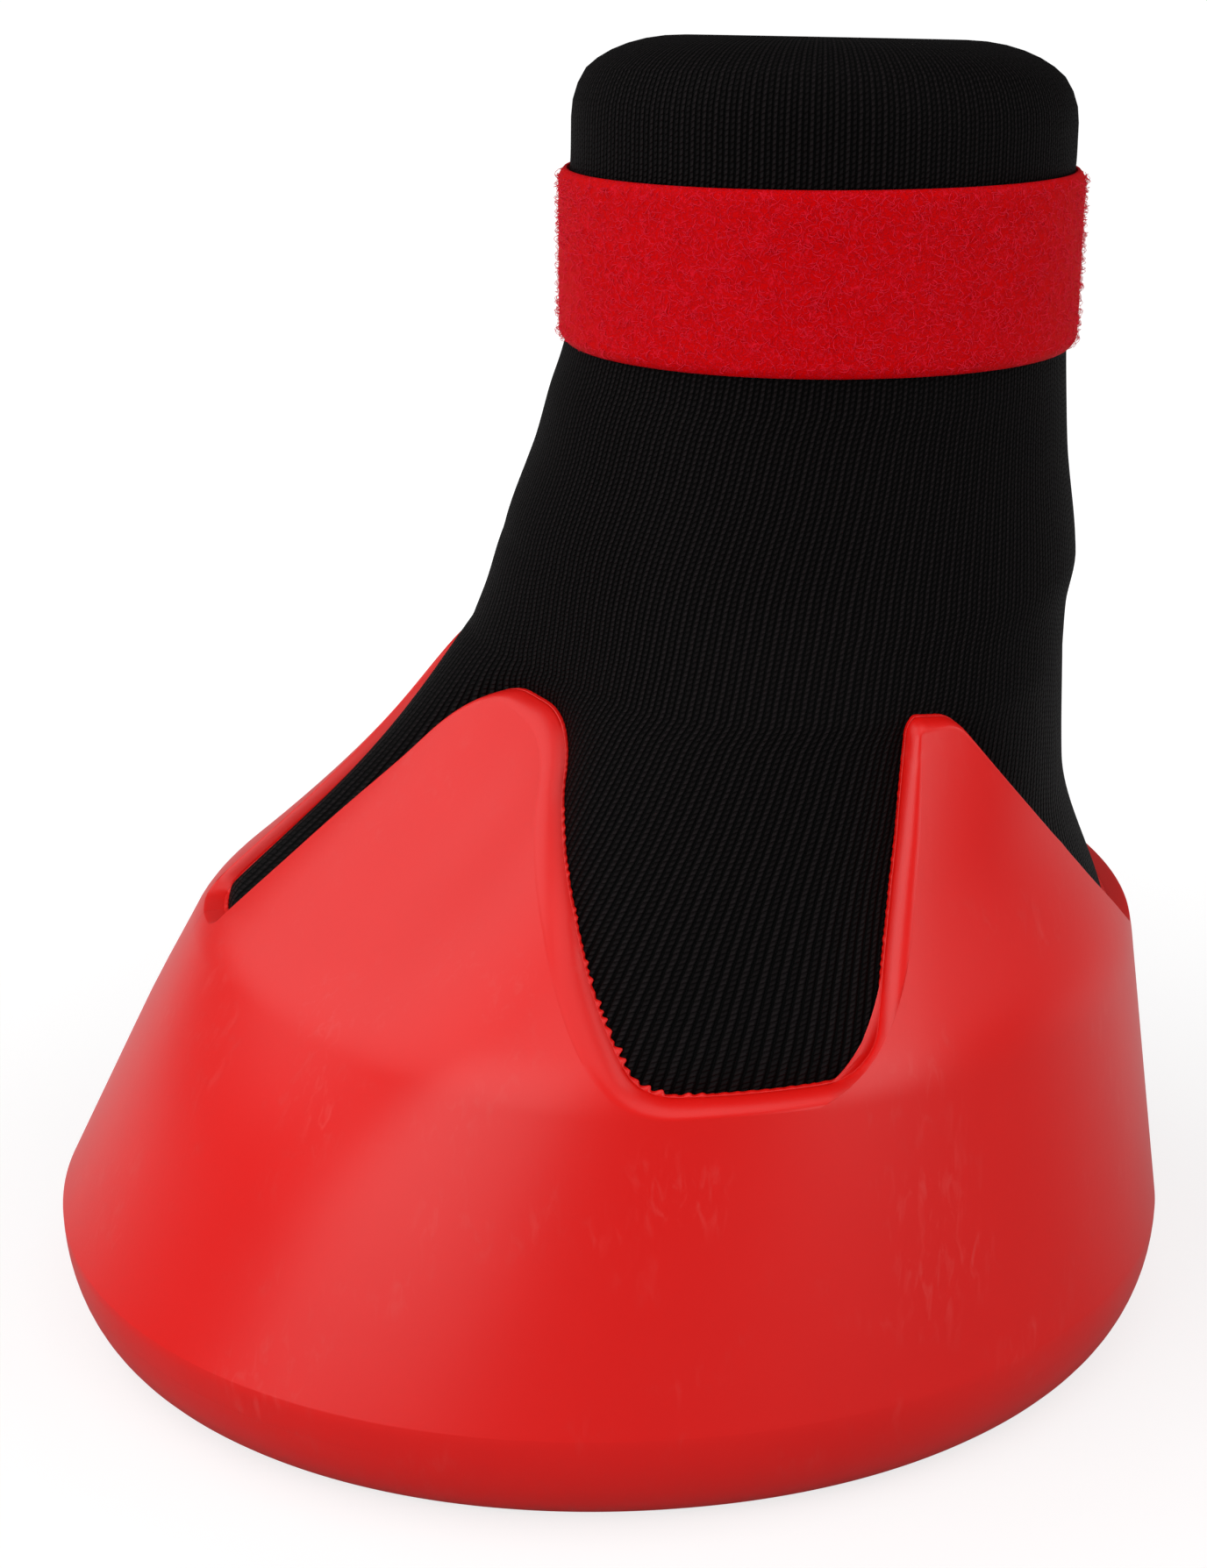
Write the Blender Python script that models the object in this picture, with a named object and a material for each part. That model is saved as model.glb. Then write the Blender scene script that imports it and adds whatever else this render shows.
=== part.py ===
"""Horse hoof boot: a moulded tub with four petals, its knitted sock, an insole and a wrap strap.

Lengths are in metres and +Z is up. The tread stands on Z 0 under the middle of the tub, the toe
points along -Y and the heel along +Y. A turn is an angle about the boot, 0 at the toe, growing
through the +X side, and half a turn at the heel.
"""

import math
from collections import namedtuple

import bmesh
import bpy
from mathutils import Vector

# Tub, widest at its girth, above the rounded foot
TUB_WIDTH = 0.1680
TUB_LENGTH = 0.1762
GIRTH_HEIGHT = 0.0155

# The wall leans in from the girth to a crease, and the petals from the crease to their tips
CREASE_HEIGHT = 0.0640
CREASE_SIDE_LEAN = 0.0060
CREASE_TOE_LEAN = 0.0243
CREASE_HEEL_LEAN = 0.0073
TIP_HEIGHT = 0.1070
TIP_SIDE_LEAN = 0.0205
TIP_TOE_LEAN = 0.0423
TIP_HEEL_LEAN = 0.0094
PETAL_BEND_HEIGHT_SHARE = 0.605
PETAL_BEND_SIDE_SHARE = 0.634
PETAL_BEND_TOE_SHARE = 0.664
PETAL_BEND_HEEL_SHARE = 0.936

# The front petals are pressed flatter than the outline, between two heights
FLAT_SHARE = 0.12
FLAT_BOTTOM = 0.0400
FLAT_TOP = 0.1360
FLATTEST_TURN = math.radians(31)

# Shape of the outline seen from above, the tub's foot and its walls
BELLY_SHARE = 0.50
TOE_FULLNESS = 2.06
HEEL_FULLNESS = 2.02
GROUND_INSET = 0.0082
SOLE_THICKNESS = 0.0100
WALL = 0.0042
TIP_WALL = 0.0028
FLOOR_FILLET = 0.0060

# Rim of the collar: corners from the toe to the heel, each a share of the half turn, a share of
# the petals' rise and a share of that rise for the corner's radius
NOTCH_HEIGHT = 0.0638
COLLAR_BASE_HEIGHT = 0.0600
RIM_ROUNDING = 0.0013
TOE_NOTCH_SHARES = ((0.0000, 0.000, 0.000), (0.0284, 0.009, 0.046))
FRONT_PETAL_SHARES = ((0.0354, 0.433, 0.930), (0.0739, 0.919, 0.255), (0.1960, 0.921, 0.340),
                      (0.2517, 0.699, 0.580), (0.3214, 0.475, 0.930))
SIDE_NOTCH_SHARES = ((0.4414, -0.018, 0.125), (0.5815, -0.023, 0.139))
REAR_PETAL_SHARES = ((0.5815, 0.514, 1.390), (0.5640, 1.010, 0.070),
                     (0.6031, 1.020, 0.180), (0.7686, 0.482, 1.850))
HEEL_NOTCH_SHARES = ((0.8832, 0.000, 0.139), (1.0000, 0.000, 0.000))
RIM_CORNER_SHARES = (TOE_NOTCH_SHARES + FRONT_PETAL_SHARES + SIDE_NOTCH_SHARES
                     + REAR_PETAL_SHARES + HEEL_NOTCH_SHARES)
RIM_STEP = 0.0056
RIM_ARC_STEP = math.radians(28)

# Heights of rings up the wall and the collar, and the rim's round edge: how far across the wall
# each of its rings lies, with how much of the rounding it is lowered by
WALL_RING_SHARES = (0.33, 0.67, 1.00)
COLLAR_RING_SHARES = (0.10, 0.30, 0.55, 0.80)
RIM_ROUND_SHARES = ((0.00, 1.00), (0.15, 0.30), (0.50, 0.00), (0.85, 0.30), (1.00, 1.00))

# Tread: grooves moulded across the sole
GROOVE_COUNT = 14
GROOVE_WIDTH = 0.0024
GROOVE_DEPTH = 0.0016
GROOVE_PITCH = 0.0105
TREAD_MARGIN = 0.0070

# Sock, whose leg stands behind the middle of the tub
SOCK_HEIGHT = 0.1920
LEG_WIDTH = 0.0700
LEG_LENGTH = 0.0746
LEG_SETBACK = 0.0311
ANKLE_HEIGHT_SHARE = 0.317
ANKLE_SIDE_SHARE = 0.463
ANKLE_TOE_SHARE = 0.130
ANKLE_HEEL_SHARE = 0.500
SOCK_COLUMNS = 64
FOOT_RING_SHARES = (0.30, 0.50, 0.60, 0.70, 0.80, 0.90, 1.00)
LEG_RING_SHARES = (0.17, 0.40, 0.70, 1.00)
KNIT = 0.0022
CUFF_TURN_IN = 0.0095

# Insole
INSOLE_THICKNESS = 0.0060
INSOLE_EDGE_INSET = 0.0028
INSOLE_EDGE_ROUNDING = 0.0016
INSOLE_COLUMNS = 48

# Strap, of one width of loop tape, with hook tape under its free end
TAPE_WIDTH = 0.0254
CUFF_OVER_STRAP = 0.0152
LEG_UNDER_STRAP = 0.0034
LOOP_TAPE = 0.0016
HOOK_TAPE = 0.0010
STRAP_START_TURN = math.radians(238)
STRAP_RAMP_TURN = math.radians(34)
TAIL_TURN = math.radians(66)
PATCH_START_TURN = math.radians(9)
PATCH_END_TURN = math.radians(61)
PATCH_WIDTH = 0.0230
TAPE_STEP_TURN = math.radians(6)

# Running clearances between touching pieces
SEAT_GAP = 0.0003
SOCK_SIDE_GAP = 0.0007
CUT_OVERRUN = 0.0020

HALF_TURN = math.pi
PETAL_RISE = TIP_HEIGHT - NOTCH_HEIGHT
STRAP_HEIGHT = SOCK_HEIGHT - CUFF_OVER_STRAP - TAPE_WIDTH

# Outline of the boot at a height: half its width, and how far its toe and heel lie along Y
Section = namedtuple("Section", "height half_width toe heel")
GIRTH = Section(GIRTH_HEIGHT, TUB_WIDTH / 2, -TUB_LENGTH / 2, TUB_LENGTH / 2)
CREASE = Section(CREASE_HEIGHT, GIRTH.half_width - CREASE_SIDE_LEAN,
                 GIRTH.toe + CREASE_TOE_LEAN, GIRTH.heel - CREASE_HEEL_LEAN)
PETAL_TIP = Section(TIP_HEIGHT, CREASE.half_width - TIP_SIDE_LEAN,
                    CREASE.toe + TIP_TOE_LEAN, CREASE.heel - TIP_HEEL_LEAN)
LEG = Section(STRAP_HEIGHT - LEG_UNDER_STRAP, LEG_WIDTH / 2,
              LEG_SETBACK - LEG_LENGTH / 2, LEG_SETBACK + LEG_LENGTH / 2)
PETAL_BEND_SHARES = Section(PETAL_BEND_HEIGHT_SHARE, PETAL_BEND_SIDE_SHARE,
                            PETAL_BEND_TOE_SHARE, PETAL_BEND_HEEL_SHARE)
ANKLE_SHARES = Section(ANKLE_HEIGHT_SHARE, ANKLE_SIDE_SHARE, ANKLE_TOE_SHARE, ANKLE_HEEL_SHARE)


def clear_scene():
    """Start from an empty scene."""
    for old in list(bpy.data.objects):
        bpy.data.objects.remove(old, do_unlink=True)


def linear_colour(hex_code):
    """Linear red, green, blue and alpha of an sRGB colour such as E1231E."""
    channels = [int(hex_code[place:place + 2], 16) / 255 for place in (0, 2, 4)]
    linear = [value / 12.92 if value <= 0.04045 else ((value + 0.055) / 1.055) ** 2.4
              for value in channels]
    return (*linear, 1.0)


def plain_material(name, hex_code, roughness):
    """A Principled material of one colour."""
    material = bpy.data.materials.new(name)
    material.use_nodes = True
    shader = material.node_tree.nodes["Principled BSDF"]
    shader.inputs["Base Color"].default_value = linear_colour(hex_code)
    shader.inputs["Roughness"].default_value = roughness
    shader.inputs["Metallic"].default_value = 0.0
    return material


def inset(section, amount):
    """A section drawn in all round by an amount."""
    return Section(section.height, section.half_width - amount,
                   section.toe + amount, section.heel - amount)


def between(low, high, shares):
    """A section part of the way from one to another, by a share of each of their sizes."""
    return Section(*(start + (end - start) * share for start, end, share in zip(low, high, shares)))


def flattening(turn, height):
    """How far the front petals are pressed in, as a share of the outline's size."""
    rise_share = min(max((height - FLAT_BOTTOM) / (FLAT_TOP - FLAT_BOTTOM), 0.0), 1.0)
    turn_share = min(turn / FLATTEST_TURN, 2.0) / 2
    return FLAT_SHARE * (math.sin(math.pi * rise_share) * math.sin(math.pi * turn_share)) ** 2


def outline_point(section, turn):
    """Place on a section's egg-shaped outline, at a turn from the toe."""
    belly = section.toe + (section.heel - section.toe) * BELLY_SHARE
    along = math.cos(turn)
    across = math.sin(turn)
    fullness = TOE_FULLNESS if along >= 0 else HEEL_FULLNESS
    reach = section.toe - belly if along >= 0 else section.heel - belly
    full = 1 - flattening(turn, section.height)
    x = math.copysign(section.half_width, across) * abs(across) ** (2 / fullness) * full
    y = belly + reach * abs(along) ** (2 / fullness) * full
    return Vector((x, y, section.height))


def slope_through(before, after):
    """Slope at a station between two spans, flat where they turn, so that nothing overshoots."""
    if before * after <= 0:
        return 0.0
    return 2 * before * after / (before + after)


def section_through(stations, height):
    """The section at a height, on a smooth curve through the stations."""
    spans = list(zip(stations, stations[1:]))
    last = len(spans) - 1
    span = next((index for index, ends in enumerate(spans) if height <= ends[1].height), last)
    low, high = spans[span]
    rise = high.height - low.height
    share = (height - low.height) / rise
    sizes = []
    for place in (1, 2, 3):
        slopes = [(top[place] - bottom[place]) / (top.height - bottom.height)
                  for bottom, top in spans]
        start = slope_through(slopes[max(span - 1, 0)], slopes[span])
        end = slope_through(slopes[span], slopes[min(span + 1, last)])
        turnover = share * share * (3 - 2 * share)
        curve = low[place] + (high[place] - low[place]) * turnover
        curve += rise * share * (1 - share) * (start * (1 - share) - end * share)
        sizes.append(curve)
    return Section(height, *sizes)


def wall_section(height):
    """The tub's outer wall: straight to the crease, then leaning in along the petals."""
    if height > CREASE.height:
        petal_bend = between(CREASE, PETAL_TIP, PETAL_BEND_SHARES)
        return section_through((CREASE, petal_bend, PETAL_TIP), height)
    share = max((height - GIRTH.height) / (CREASE.height - GIRTH.height), 0.0)
    sizes = [low + (high - low) * share for low, high in zip(GIRTH[1:], CREASE[1:])]
    return Section(height, *sizes)


def wall_thickness(height):
    """The wall measured level, thinner towards the petals' tips."""
    share = min(max((height - CREASE.height) / (PETAL_TIP.height - CREASE.height), 0.0), 1.0)
    return WALL + (TIP_WALL - WALL) * share


def rounded_path(corners):
    """Points along straight runs with round corners, from (along, up, radius) corners."""
    points = [Vector(corners[0][:2])]
    for before, corner, after in zip(corners, corners[1:], corners[2:]):
        here = Vector(corner[:2])
        incoming = (here - Vector(before[:2])).normalized()
        outgoing = (Vector(after[:2]) - here).normalized()
        bend = incoming.angle_signed(outgoing)
        radius = corner[2]
        tangent = radius * math.tan(abs(bend) / 2)
        side = Vector((incoming.y, -incoming.x)) * math.copysign(radius, bend)
        centre = here - incoming * tangent + side
        steps = max(round(abs(bend) / RIM_ARC_STEP), 1)
        for step in range(steps + 1):
            angle = -bend * step / steps
            spoke = -side
            turned = Vector((spoke.x * math.cos(angle) - spoke.y * math.sin(angle),
                             spoke.x * math.sin(angle) + spoke.y * math.cos(angle)))
            points.append(centre + turned)
    points.append(Vector(corners[-1][:2]))
    return points


def divided_path(points, longest):
    """The same path with its long runs divided."""
    divided = [points[0]]
    for start, end in zip(points, points[1:]):
        steps = max(math.ceil((end - start).length / longest), 1)
        divided += [start.lerp(end, step / steps) for step in range(1, steps + 1)]
    return divided


def rim_length():
    """Length of half the collar, measured along the petals' middle."""
    middle = between(CREASE, PETAL_TIP, PETAL_BEND_SHARES)
    return HALF_TURN * (middle.half_width + (middle.heel - middle.toe) / 2) / 2


def rim_columns():
    """Half the rim from toe to heel, unrolled: its points, the way into the wall, and base turns."""
    length = rim_length()
    corners = [(turn * length, NOTCH_HEIGHT + rise * PETAL_RISE, radius * PETAL_RISE)
               for turn, rise, radius in RIM_CORNER_SHARES]
    points = divided_path(rounded_path(corners), RIM_STEP)
    inward = []
    for index in range(len(points)):
        ahead = points[min(index + 1, len(points) - 1)] - points[max(index - 1, 0)]
        inward.append(Vector((ahead.y, -ahead.x)).normalized())
    travel = [0.0]
    for start, end in zip(points, points[1:]):
        travel.append(travel[-1] + (end - start).length + abs(end.x - start.x))
    base_turns = [HALF_TURN * distance / travel[-1] for distance in travel]
    return points, inward, base_turns


def mirrored_ring(half_ring):
    """A closed ring from its +X half, which runs from toe to heel."""
    other_half = [Vector((-point.x, point.y, point.z)) for point in reversed(half_ring[1:-1])]
    return half_ring + other_half


def collar_ring(columns, share, offset, depth_share):
    """A ring a share of the way up the collar, lowered from the rim, a share into the wall."""
    ring = []
    for point, inward, base_turn in zip(*columns):
        edge = point + inward * offset
        turn = base_turn + (HALF_TURN * edge.x / rim_length() - base_turn) * share
        height = COLLAR_BASE_HEIGHT + (edge.y - COLLAR_BASE_HEIGHT) * share
        section = inset(wall_section(height), wall_thickness(height) * depth_share)
        ring.append(outline_point(section, turn))
    return mirrored_ring(ring)


def level_ring(turns, section):
    """A ring of the boot's outline at one height."""
    return mirrored_ring([outline_point(section, turn) for turn in turns])


def loft(name, rings):
    """A closed body through rings of as many points, its first and last ring capped."""
    model = bmesh.new()
    loops = [[model.verts.new(point) for point in ring] for ring in rings]
    for low, high in zip(loops, loops[1:]):
        for place in range(len(low)):
            after = (place + 1) % len(low)
            model.faces.new((low[place], low[after], high[after], high[place]))
    model.faces.new(loops[0])
    model.faces.new(loops[-1])
    bmesh.ops.recalc_face_normals(model, faces=model.faces)
    mesh = bpy.data.meshes.new(name)
    model.to_mesh(mesh)
    model.free()
    return mesh


def add_object(name, mesh, material, sharp_angle=math.radians(40)):
    """Put a mesh in the scene as a smooth-shaded object."""
    piece = bpy.data.objects.new(name, mesh)
    bpy.context.scene.collection.objects.link(piece)
    mesh.materials.append(material)
    mesh.shade_smooth()
    mesh.set_sharp_from_angle(angle=sharp_angle)
    return piece


def cavity_section(height, clearance):
    """The hollow inside the tub, drawn in by a clearance."""
    return inset(wall_section(height), wall_thickness(height) + clearance)


def floor_sections(clearance, lift, steps):
    """Sections round the floor's fillet, from the flat floor out to the wall."""
    radius = FLOOR_FILLET - clearance
    floor = SOLE_THICKNESS + lift
    sections = []
    for step in range(steps + 1):
        angle = math.pi / 2 * step / steps
        height = floor + radius * (1 - math.cos(angle))
        sections.append(inset(cavity_section(height, clearance), radius * (1 - math.sin(angle))))
    return sections


def ground_sections(steps):
    """Sections up the tub's rounded foot, from the ground to the girth."""
    sections = []
    for step in range(steps + 1):
        angle = math.pi / 2 * step / steps
        height = GIRTH.height * (1 - math.cos(angle))
        sections.append(inset(wall_section(height), GROUND_INSET * (1 - math.sin(angle))))
    return sections


def tread_grooves():
    """Cutter for the grooves across the sole, each shorter than the ground's outline there."""
    ground = inset(wall_section(0.0), GROUND_INSET)
    middle = (ground.toe + ground.heel) / 2
    half_length = (ground.heel - ground.toe) / 2
    model = bmesh.new()
    for number in range(GROOVE_COUNT):
        y = middle + (number - (GROOVE_COUNT - 1) / 2) * GROOVE_PITCH
        off_middle_share = (y - middle) / half_length
        half_width = ground.half_width * math.sqrt(max(1 - off_middle_share ** 2, 0.0))
        size = (2 * (half_width - TREAD_MARGIN), GROOVE_WIDTH, GROOVE_DEPTH + CUT_OVERRUN)
        corners = bmesh.ops.create_cube(model, size=1.0)["verts"]
        bmesh.ops.scale(model, verts=corners, vec=size)
        bmesh.ops.translate(model, verts=corners, vec=(0, y, (GROOVE_DEPTH - CUT_OVERRUN) / 2))
    mesh = bpy.data.meshes.new("tread_groove_cutter")
    model.to_mesh(mesh)
    model.free()
    cutter = bpy.data.objects.new("tread_groove_cutter", mesh)
    bpy.context.scene.collection.objects.link(cutter)
    cutter.hide_render = True
    cutter.display_type = "WIRE"
    return cutter


def heights_between(low, high, shares):
    """Heights at shares of the way from one height to another."""
    return [low + (high - low) * share for share in shares]


def boot_shell(material):
    """The moulded tub: sole, rounded foot, wall, and the collar with its petals and notches."""
    columns = rim_columns()
    base_turns = columns[2]
    wall_heights = heights_between(GIRTH.height, COLLAR_BASE_HEIGHT, WALL_RING_SHARES)
    rings = [level_ring(base_turns, section) for section in ground_sections(5)]
    rings += [level_ring(base_turns, wall_section(height)) for height in wall_heights]
    rings += [collar_ring(columns, share, RIM_ROUNDING, 0.0) for share in COLLAR_RING_SHARES]
    for depth_share, lowered_share in RIM_ROUND_SHARES:
        rings.append(collar_ring(columns, 1.0, RIM_ROUNDING * lowered_share, depth_share))
    rings += [collar_ring(columns, share, RIM_ROUNDING, 1.0) for share in reversed(COLLAR_RING_SHARES)]
    rings += [level_ring(base_turns, cavity_section(height, 0.0)) for height in reversed(wall_heights)]
    rings += [level_ring(base_turns, section) for section in reversed(floor_sections(0.0, 0.0, 3))]
    shell = add_object("boot_shell", loft("boot_shell", rings), material)
    grooves = shell.modifiers.new("tread", "BOOLEAN")
    grooves.operation = "DIFFERENCE"
    grooves.solver = "EXACT"
    grooves.object = tread_grooves()
    return shell


def sock_section(height):
    """The sock's outside: against the tub's inside up to the tips, then drawn in to the leg."""
    if height <= PETAL_TIP.height:
        return cavity_section(height, SOCK_SIDE_GAP)
    tip = cavity_section(PETAL_TIP.height, SOCK_SIDE_GAP)
    cuff = LEG._replace(height=SOCK_HEIGHT)
    return section_through((tip, between(tip, LEG, ANKLE_SHARES), LEG, cuff), height)


def cuff_sections(thickness, steps):
    """Sections over the cuff where the knit turns in, a thickness under its outside."""
    radius = CUFF_TURN_IN
    shoulder = SOCK_HEIGHT - radius
    sections = []
    for step in range(steps + 1):
        angle = math.pi / 2 * step / steps
        height = shoulder + (radius - thickness) * math.sin(angle)
        drawn_in = radius - (radius - thickness) * math.cos(angle)
        sections.append(inset(sock_section(shoulder), drawn_in)._replace(height=height))
    return sections


def sock(material):
    """The knitted tube: a foot that lines the tub, and a leg that ends in a turned-in cuff."""
    turns = [HALF_TURN * place * 2 / SOCK_COLUMNS for place in range(SOCK_COLUMNS // 2 + 1)]
    heights = heights_between(GIRTH.height, PETAL_TIP.height, FOOT_RING_SHARES)
    heights += heights_between(PETAL_TIP.height, LEG.height, LEG_RING_SHARES)
    outside = floor_sections(SOCK_SIDE_GAP, SEAT_GAP, 3)
    outside += [sock_section(height) for height in heights]
    outside += cuff_sections(0.0, 4)
    inside = floor_sections(SOCK_SIDE_GAP + KNIT, SEAT_GAP + KNIT, 2)
    inside += [inset(sock_section(height), KNIT) for height in heights]
    inside += cuff_sections(KNIT, 3)
    rings = [level_ring(turns, section) for section in outside + inside[::-1]]
    return add_object("sock", loft("sock", rings), material)


def insole(material):
    """The pad that lies on the sock's sole, with its edges rounded off."""
    bottom = SOLE_THICKNESS + SEAT_GAP + KNIT + SEAT_GAP
    top = bottom + INSOLE_THICKNESS
    turns = [HALF_TURN * place * 2 / INSOLE_COLUMNS for place in range(INSOLE_COLUMNS // 2 + 1)]
    edge = inset(cavity_section(top, SOCK_SIDE_GAP + KNIT), INSOLE_EDGE_INSET)
    rings = [level_ring(turns, edge._replace(height=height)) for height in (bottom, top)]
    pad = add_object("insole", loft("insole", rings), material)
    rounding = pad.modifiers.new("edge", "BEVEL")
    rounding.width = INSOLE_EDGE_ROUNDING
    rounding.segments = 2
    rounding.limit_method = "ANGLE"
    return pad


def tape_point(turn, offset, height):
    """Place on the line that tape follows round the leg, an offset out from the knit."""
    return outline_point(inset(LEG, -offset)._replace(height=height), turn)


def tape(name, start, end, offset_at, thickness, width, material, origin):
    """A length of tape round the leg between two turns, on its lie and built outwards."""
    steps = round((end - start) / TAPE_STEP_TURN)
    low = STRAP_HEIGHT + (TAPE_WIDTH - width) / 2
    model = bmesh.new()
    edges = []
    for step in range(steps + 1):
        turn = start + (end - start) * step / steps
        places = [tape_point(turn, offset_at(turn), height) for height in (low, low + width)]
        edges.append([model.verts.new(place - origin) for place in places])
    for here, after in zip(edges, edges[1:]):
        model.faces.new((here[0], after[0], after[1], here[1]))
    mesh = bpy.data.meshes.new(name)
    model.to_mesh(mesh)
    model.free()
    piece = add_object(name, mesh, material)
    piece.location = origin
    body = piece.modifiers.new("thickness", "SOLIDIFY")
    body.thickness = thickness
    body.offset = 1.0
    body.use_even_offset = True
    return piece


def tail_offset():
    """How far the free end lies off the knit: over the strap's first turn and the hook tape."""
    return SEAT_GAP + LOOP_TAPE + SEAT_GAP + HOOK_TAPE + SEAT_GAP


def strap_offset(turn):
    """The strap lies on the knit, then climbs onto its own start at the end of its turn."""
    left = STRAP_START_TURN + 2 * HALF_TURN - turn
    share = min(max(1 - left / STRAP_RAMP_TURN, 0.0), 1.0)
    return SEAT_GAP + (tail_offset() - SEAT_GAP) * math.sin(share * math.pi / 2)


def strap_end_turn():
    """Turn at which the strap ends and its free end begins."""
    return STRAP_START_TURN + 2 * HALF_TURN


def tail_hinge():
    """Empty on the line where the free end peels: the outer face of the strap's end."""
    hinge = bpy.data.objects.new("tail_hinge", None)
    bpy.context.scene.collection.objects.link(hinge)
    middle = STRAP_HEIGHT + TAPE_WIDTH / 2
    hinge.location = tape_point(strap_end_turn(), tail_offset() + LOOP_TAPE, middle)
    return hinge


def seat_gap_turn():
    """Turn that a seating gap takes up round the leg."""
    return SEAT_GAP / LEG.half_width


def straps(loop_material, hook_material):
    """The strap, its free end and the hook tape sewn under that end."""
    origin = Vector((0, 0, 0))
    end = strap_end_turn()
    tape("strap", STRAP_START_TURN, end, strap_offset, LOOP_TAPE, TAPE_WIDTH, loop_material, origin)
    hinge = tail_hinge()
    tail = tape("strap_tail", end + seat_gap_turn(), end + TAIL_TURN, lambda turn: tail_offset(),
                LOOP_TAPE, TAPE_WIDTH, loop_material, hinge.location)
    patch_offset = SEAT_GAP + LOOP_TAPE + SEAT_GAP
    patch = tape("hook_patch", end + PATCH_START_TURN, end + PATCH_END_TURN, lambda turn: patch_offset,
                 HOOK_TAPE, PATCH_WIDTH, hook_material, hinge.location)
    for piece in (tail, patch):
        piece.parent = hinge
        piece.location = origin


def build():
    """The whole boot."""
    clear_scene()
    boot_shell(plain_material("tub_rubber", "E1231E", 0.38))
    sock(plain_material("sock_knit", "0F0D0E", 0.95))
    insole(plain_material("insole_foam", "2B2B2D", 0.90))
    straps(plain_material("loop_tape", "C40414", 0.95), plain_material("hook_tape", "8E0A12", 0.70))


build()
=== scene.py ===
# %% [markdown]
# # A hoof boot, dressed over its frame
#
# The real boot is a soft moulded tub with four petals, bonded round a knitted sock. A strap of
# hook-and-loop tape holds the sock's leg round the horse's pastern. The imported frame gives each
# piece its place and its rough solid. This script puts a finer piece over each solid and gives it
# the surface that the real material has. Lengths are in metres, the toe points along -Y and Z 0
# is the ground.

# %% Load the frame
import math

import bpy
import numpy as np
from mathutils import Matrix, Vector


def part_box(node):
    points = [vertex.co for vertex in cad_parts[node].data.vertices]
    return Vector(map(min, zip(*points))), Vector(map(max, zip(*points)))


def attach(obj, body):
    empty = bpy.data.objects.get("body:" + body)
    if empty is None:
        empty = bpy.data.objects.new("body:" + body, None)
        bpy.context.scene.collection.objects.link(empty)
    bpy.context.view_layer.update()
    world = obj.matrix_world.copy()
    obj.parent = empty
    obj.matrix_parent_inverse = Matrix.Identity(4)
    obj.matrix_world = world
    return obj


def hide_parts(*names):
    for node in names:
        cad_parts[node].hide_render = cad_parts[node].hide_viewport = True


MM = 0.001


def select_only(*pieces):
    """Select these pieces, or none, and nothing else; the last one becomes active."""
    bpy.ops.object.select_all(action="DESELECT")
    for piece in pieces:
        piece.select_set(True)
        bpy.context.view_layer.objects.active = piece


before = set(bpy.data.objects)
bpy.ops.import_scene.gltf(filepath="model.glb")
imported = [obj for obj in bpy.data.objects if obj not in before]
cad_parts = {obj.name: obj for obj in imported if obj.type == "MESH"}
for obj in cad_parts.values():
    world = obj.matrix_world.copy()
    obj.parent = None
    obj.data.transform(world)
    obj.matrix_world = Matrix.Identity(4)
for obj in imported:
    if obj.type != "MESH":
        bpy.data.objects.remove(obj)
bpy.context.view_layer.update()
for node_name in sorted(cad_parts):
    low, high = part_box(node_name)
    print(node_name, [round(size / MM, 1) for size in high - low], "mm")

# %% [markdown]
# ## Camera
#
# The photograph looks at the boot's side from a little above. The camera's place and lens were
# found by a least-squares fit to the boot's outline in the photograph. Blender's default sensor,
# whose long side is 36 mm, stands upright here.

# %% Camera
CAMERA_TURN = math.radians(80.5)
CAMERA_DISTANCE = 426.8 * MM
CAMERA_HEIGHT = 233.3 * MM
CAMERA_TILT = math.radians(70.3365)
CAMERA_AIM = math.radians(80.6361)
LENS_MILLIMETRES = 66.68
to_camera = (math.sin(CAMERA_TURN), -math.cos(CAMERA_TURN), 0)
select_only()
camera_place = (to_camera[0] * CAMERA_DISTANCE, to_camera[1] * CAMERA_DISTANCE, CAMERA_HEIGHT)
bpy.ops.object.camera_add(location=camera_place, rotation=(CAMERA_TILT, 0, CAMERA_AIM))
camera = bpy.context.object
camera.name = "photo_camera"
camera.data.lens = LENS_MILLIMETRES
bpy.context.scene.camera = camera
print("camera at", [round(value, 3) for value in camera.location])


# %% [markdown]
# ## Helpers for materials
#
# Colours are written as they look on a screen, in hex, and Blender wants them linear. One
# function converts them. A second sets or links a node's sockets, and a third adds a node. The
# others name the nodes that come back again and again, so that each material below reads as a
# short list of steps.

# %% Colour and node helpers
def linear_colour(hex_code):
    """Linear red, green, blue and alpha of an sRGB colour such as E1231E."""
    channels = [int(hex_code[place:place + 2], 16) / 255 for place in (0, 2, 4)]
    linear = [value / 12.92 if value <= 0.04045 else ((value + 0.055) / 1.055) ** 2.4
              for value in channels]
    return (*linear, 1.0)


def set_sockets(node, inputs):
    """Give a node's sockets their values, or link them to what feeds them."""
    for socket, value in inputs.items():
        if isinstance(value, bpy.types.NodeSocket):
            node.id_data.links.new(value, node.inputs[socket])
        else:
            node.inputs[socket].default_value = value


def add_node(tree, kind, inputs=None, **settings):
    """Add a node; inputs are its sockets, settings its other properties."""
    node = tree.nodes.new(kind)
    for name, value in settings.items():
        setattr(node, name, value)
    set_sockets(node, inputs or {})
    return node


# The Mix node keeps one row of sockets for numbers and another for colours
MIX_SHARE = 0
FIRST_NUMBER, SECOND_NUMBER, NUMBER_RESULT = 2, 3, 0
FIRST_COLOUR, SECOND_COLOUR, COLOUR_RESULT = 6, 7, 2


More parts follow.
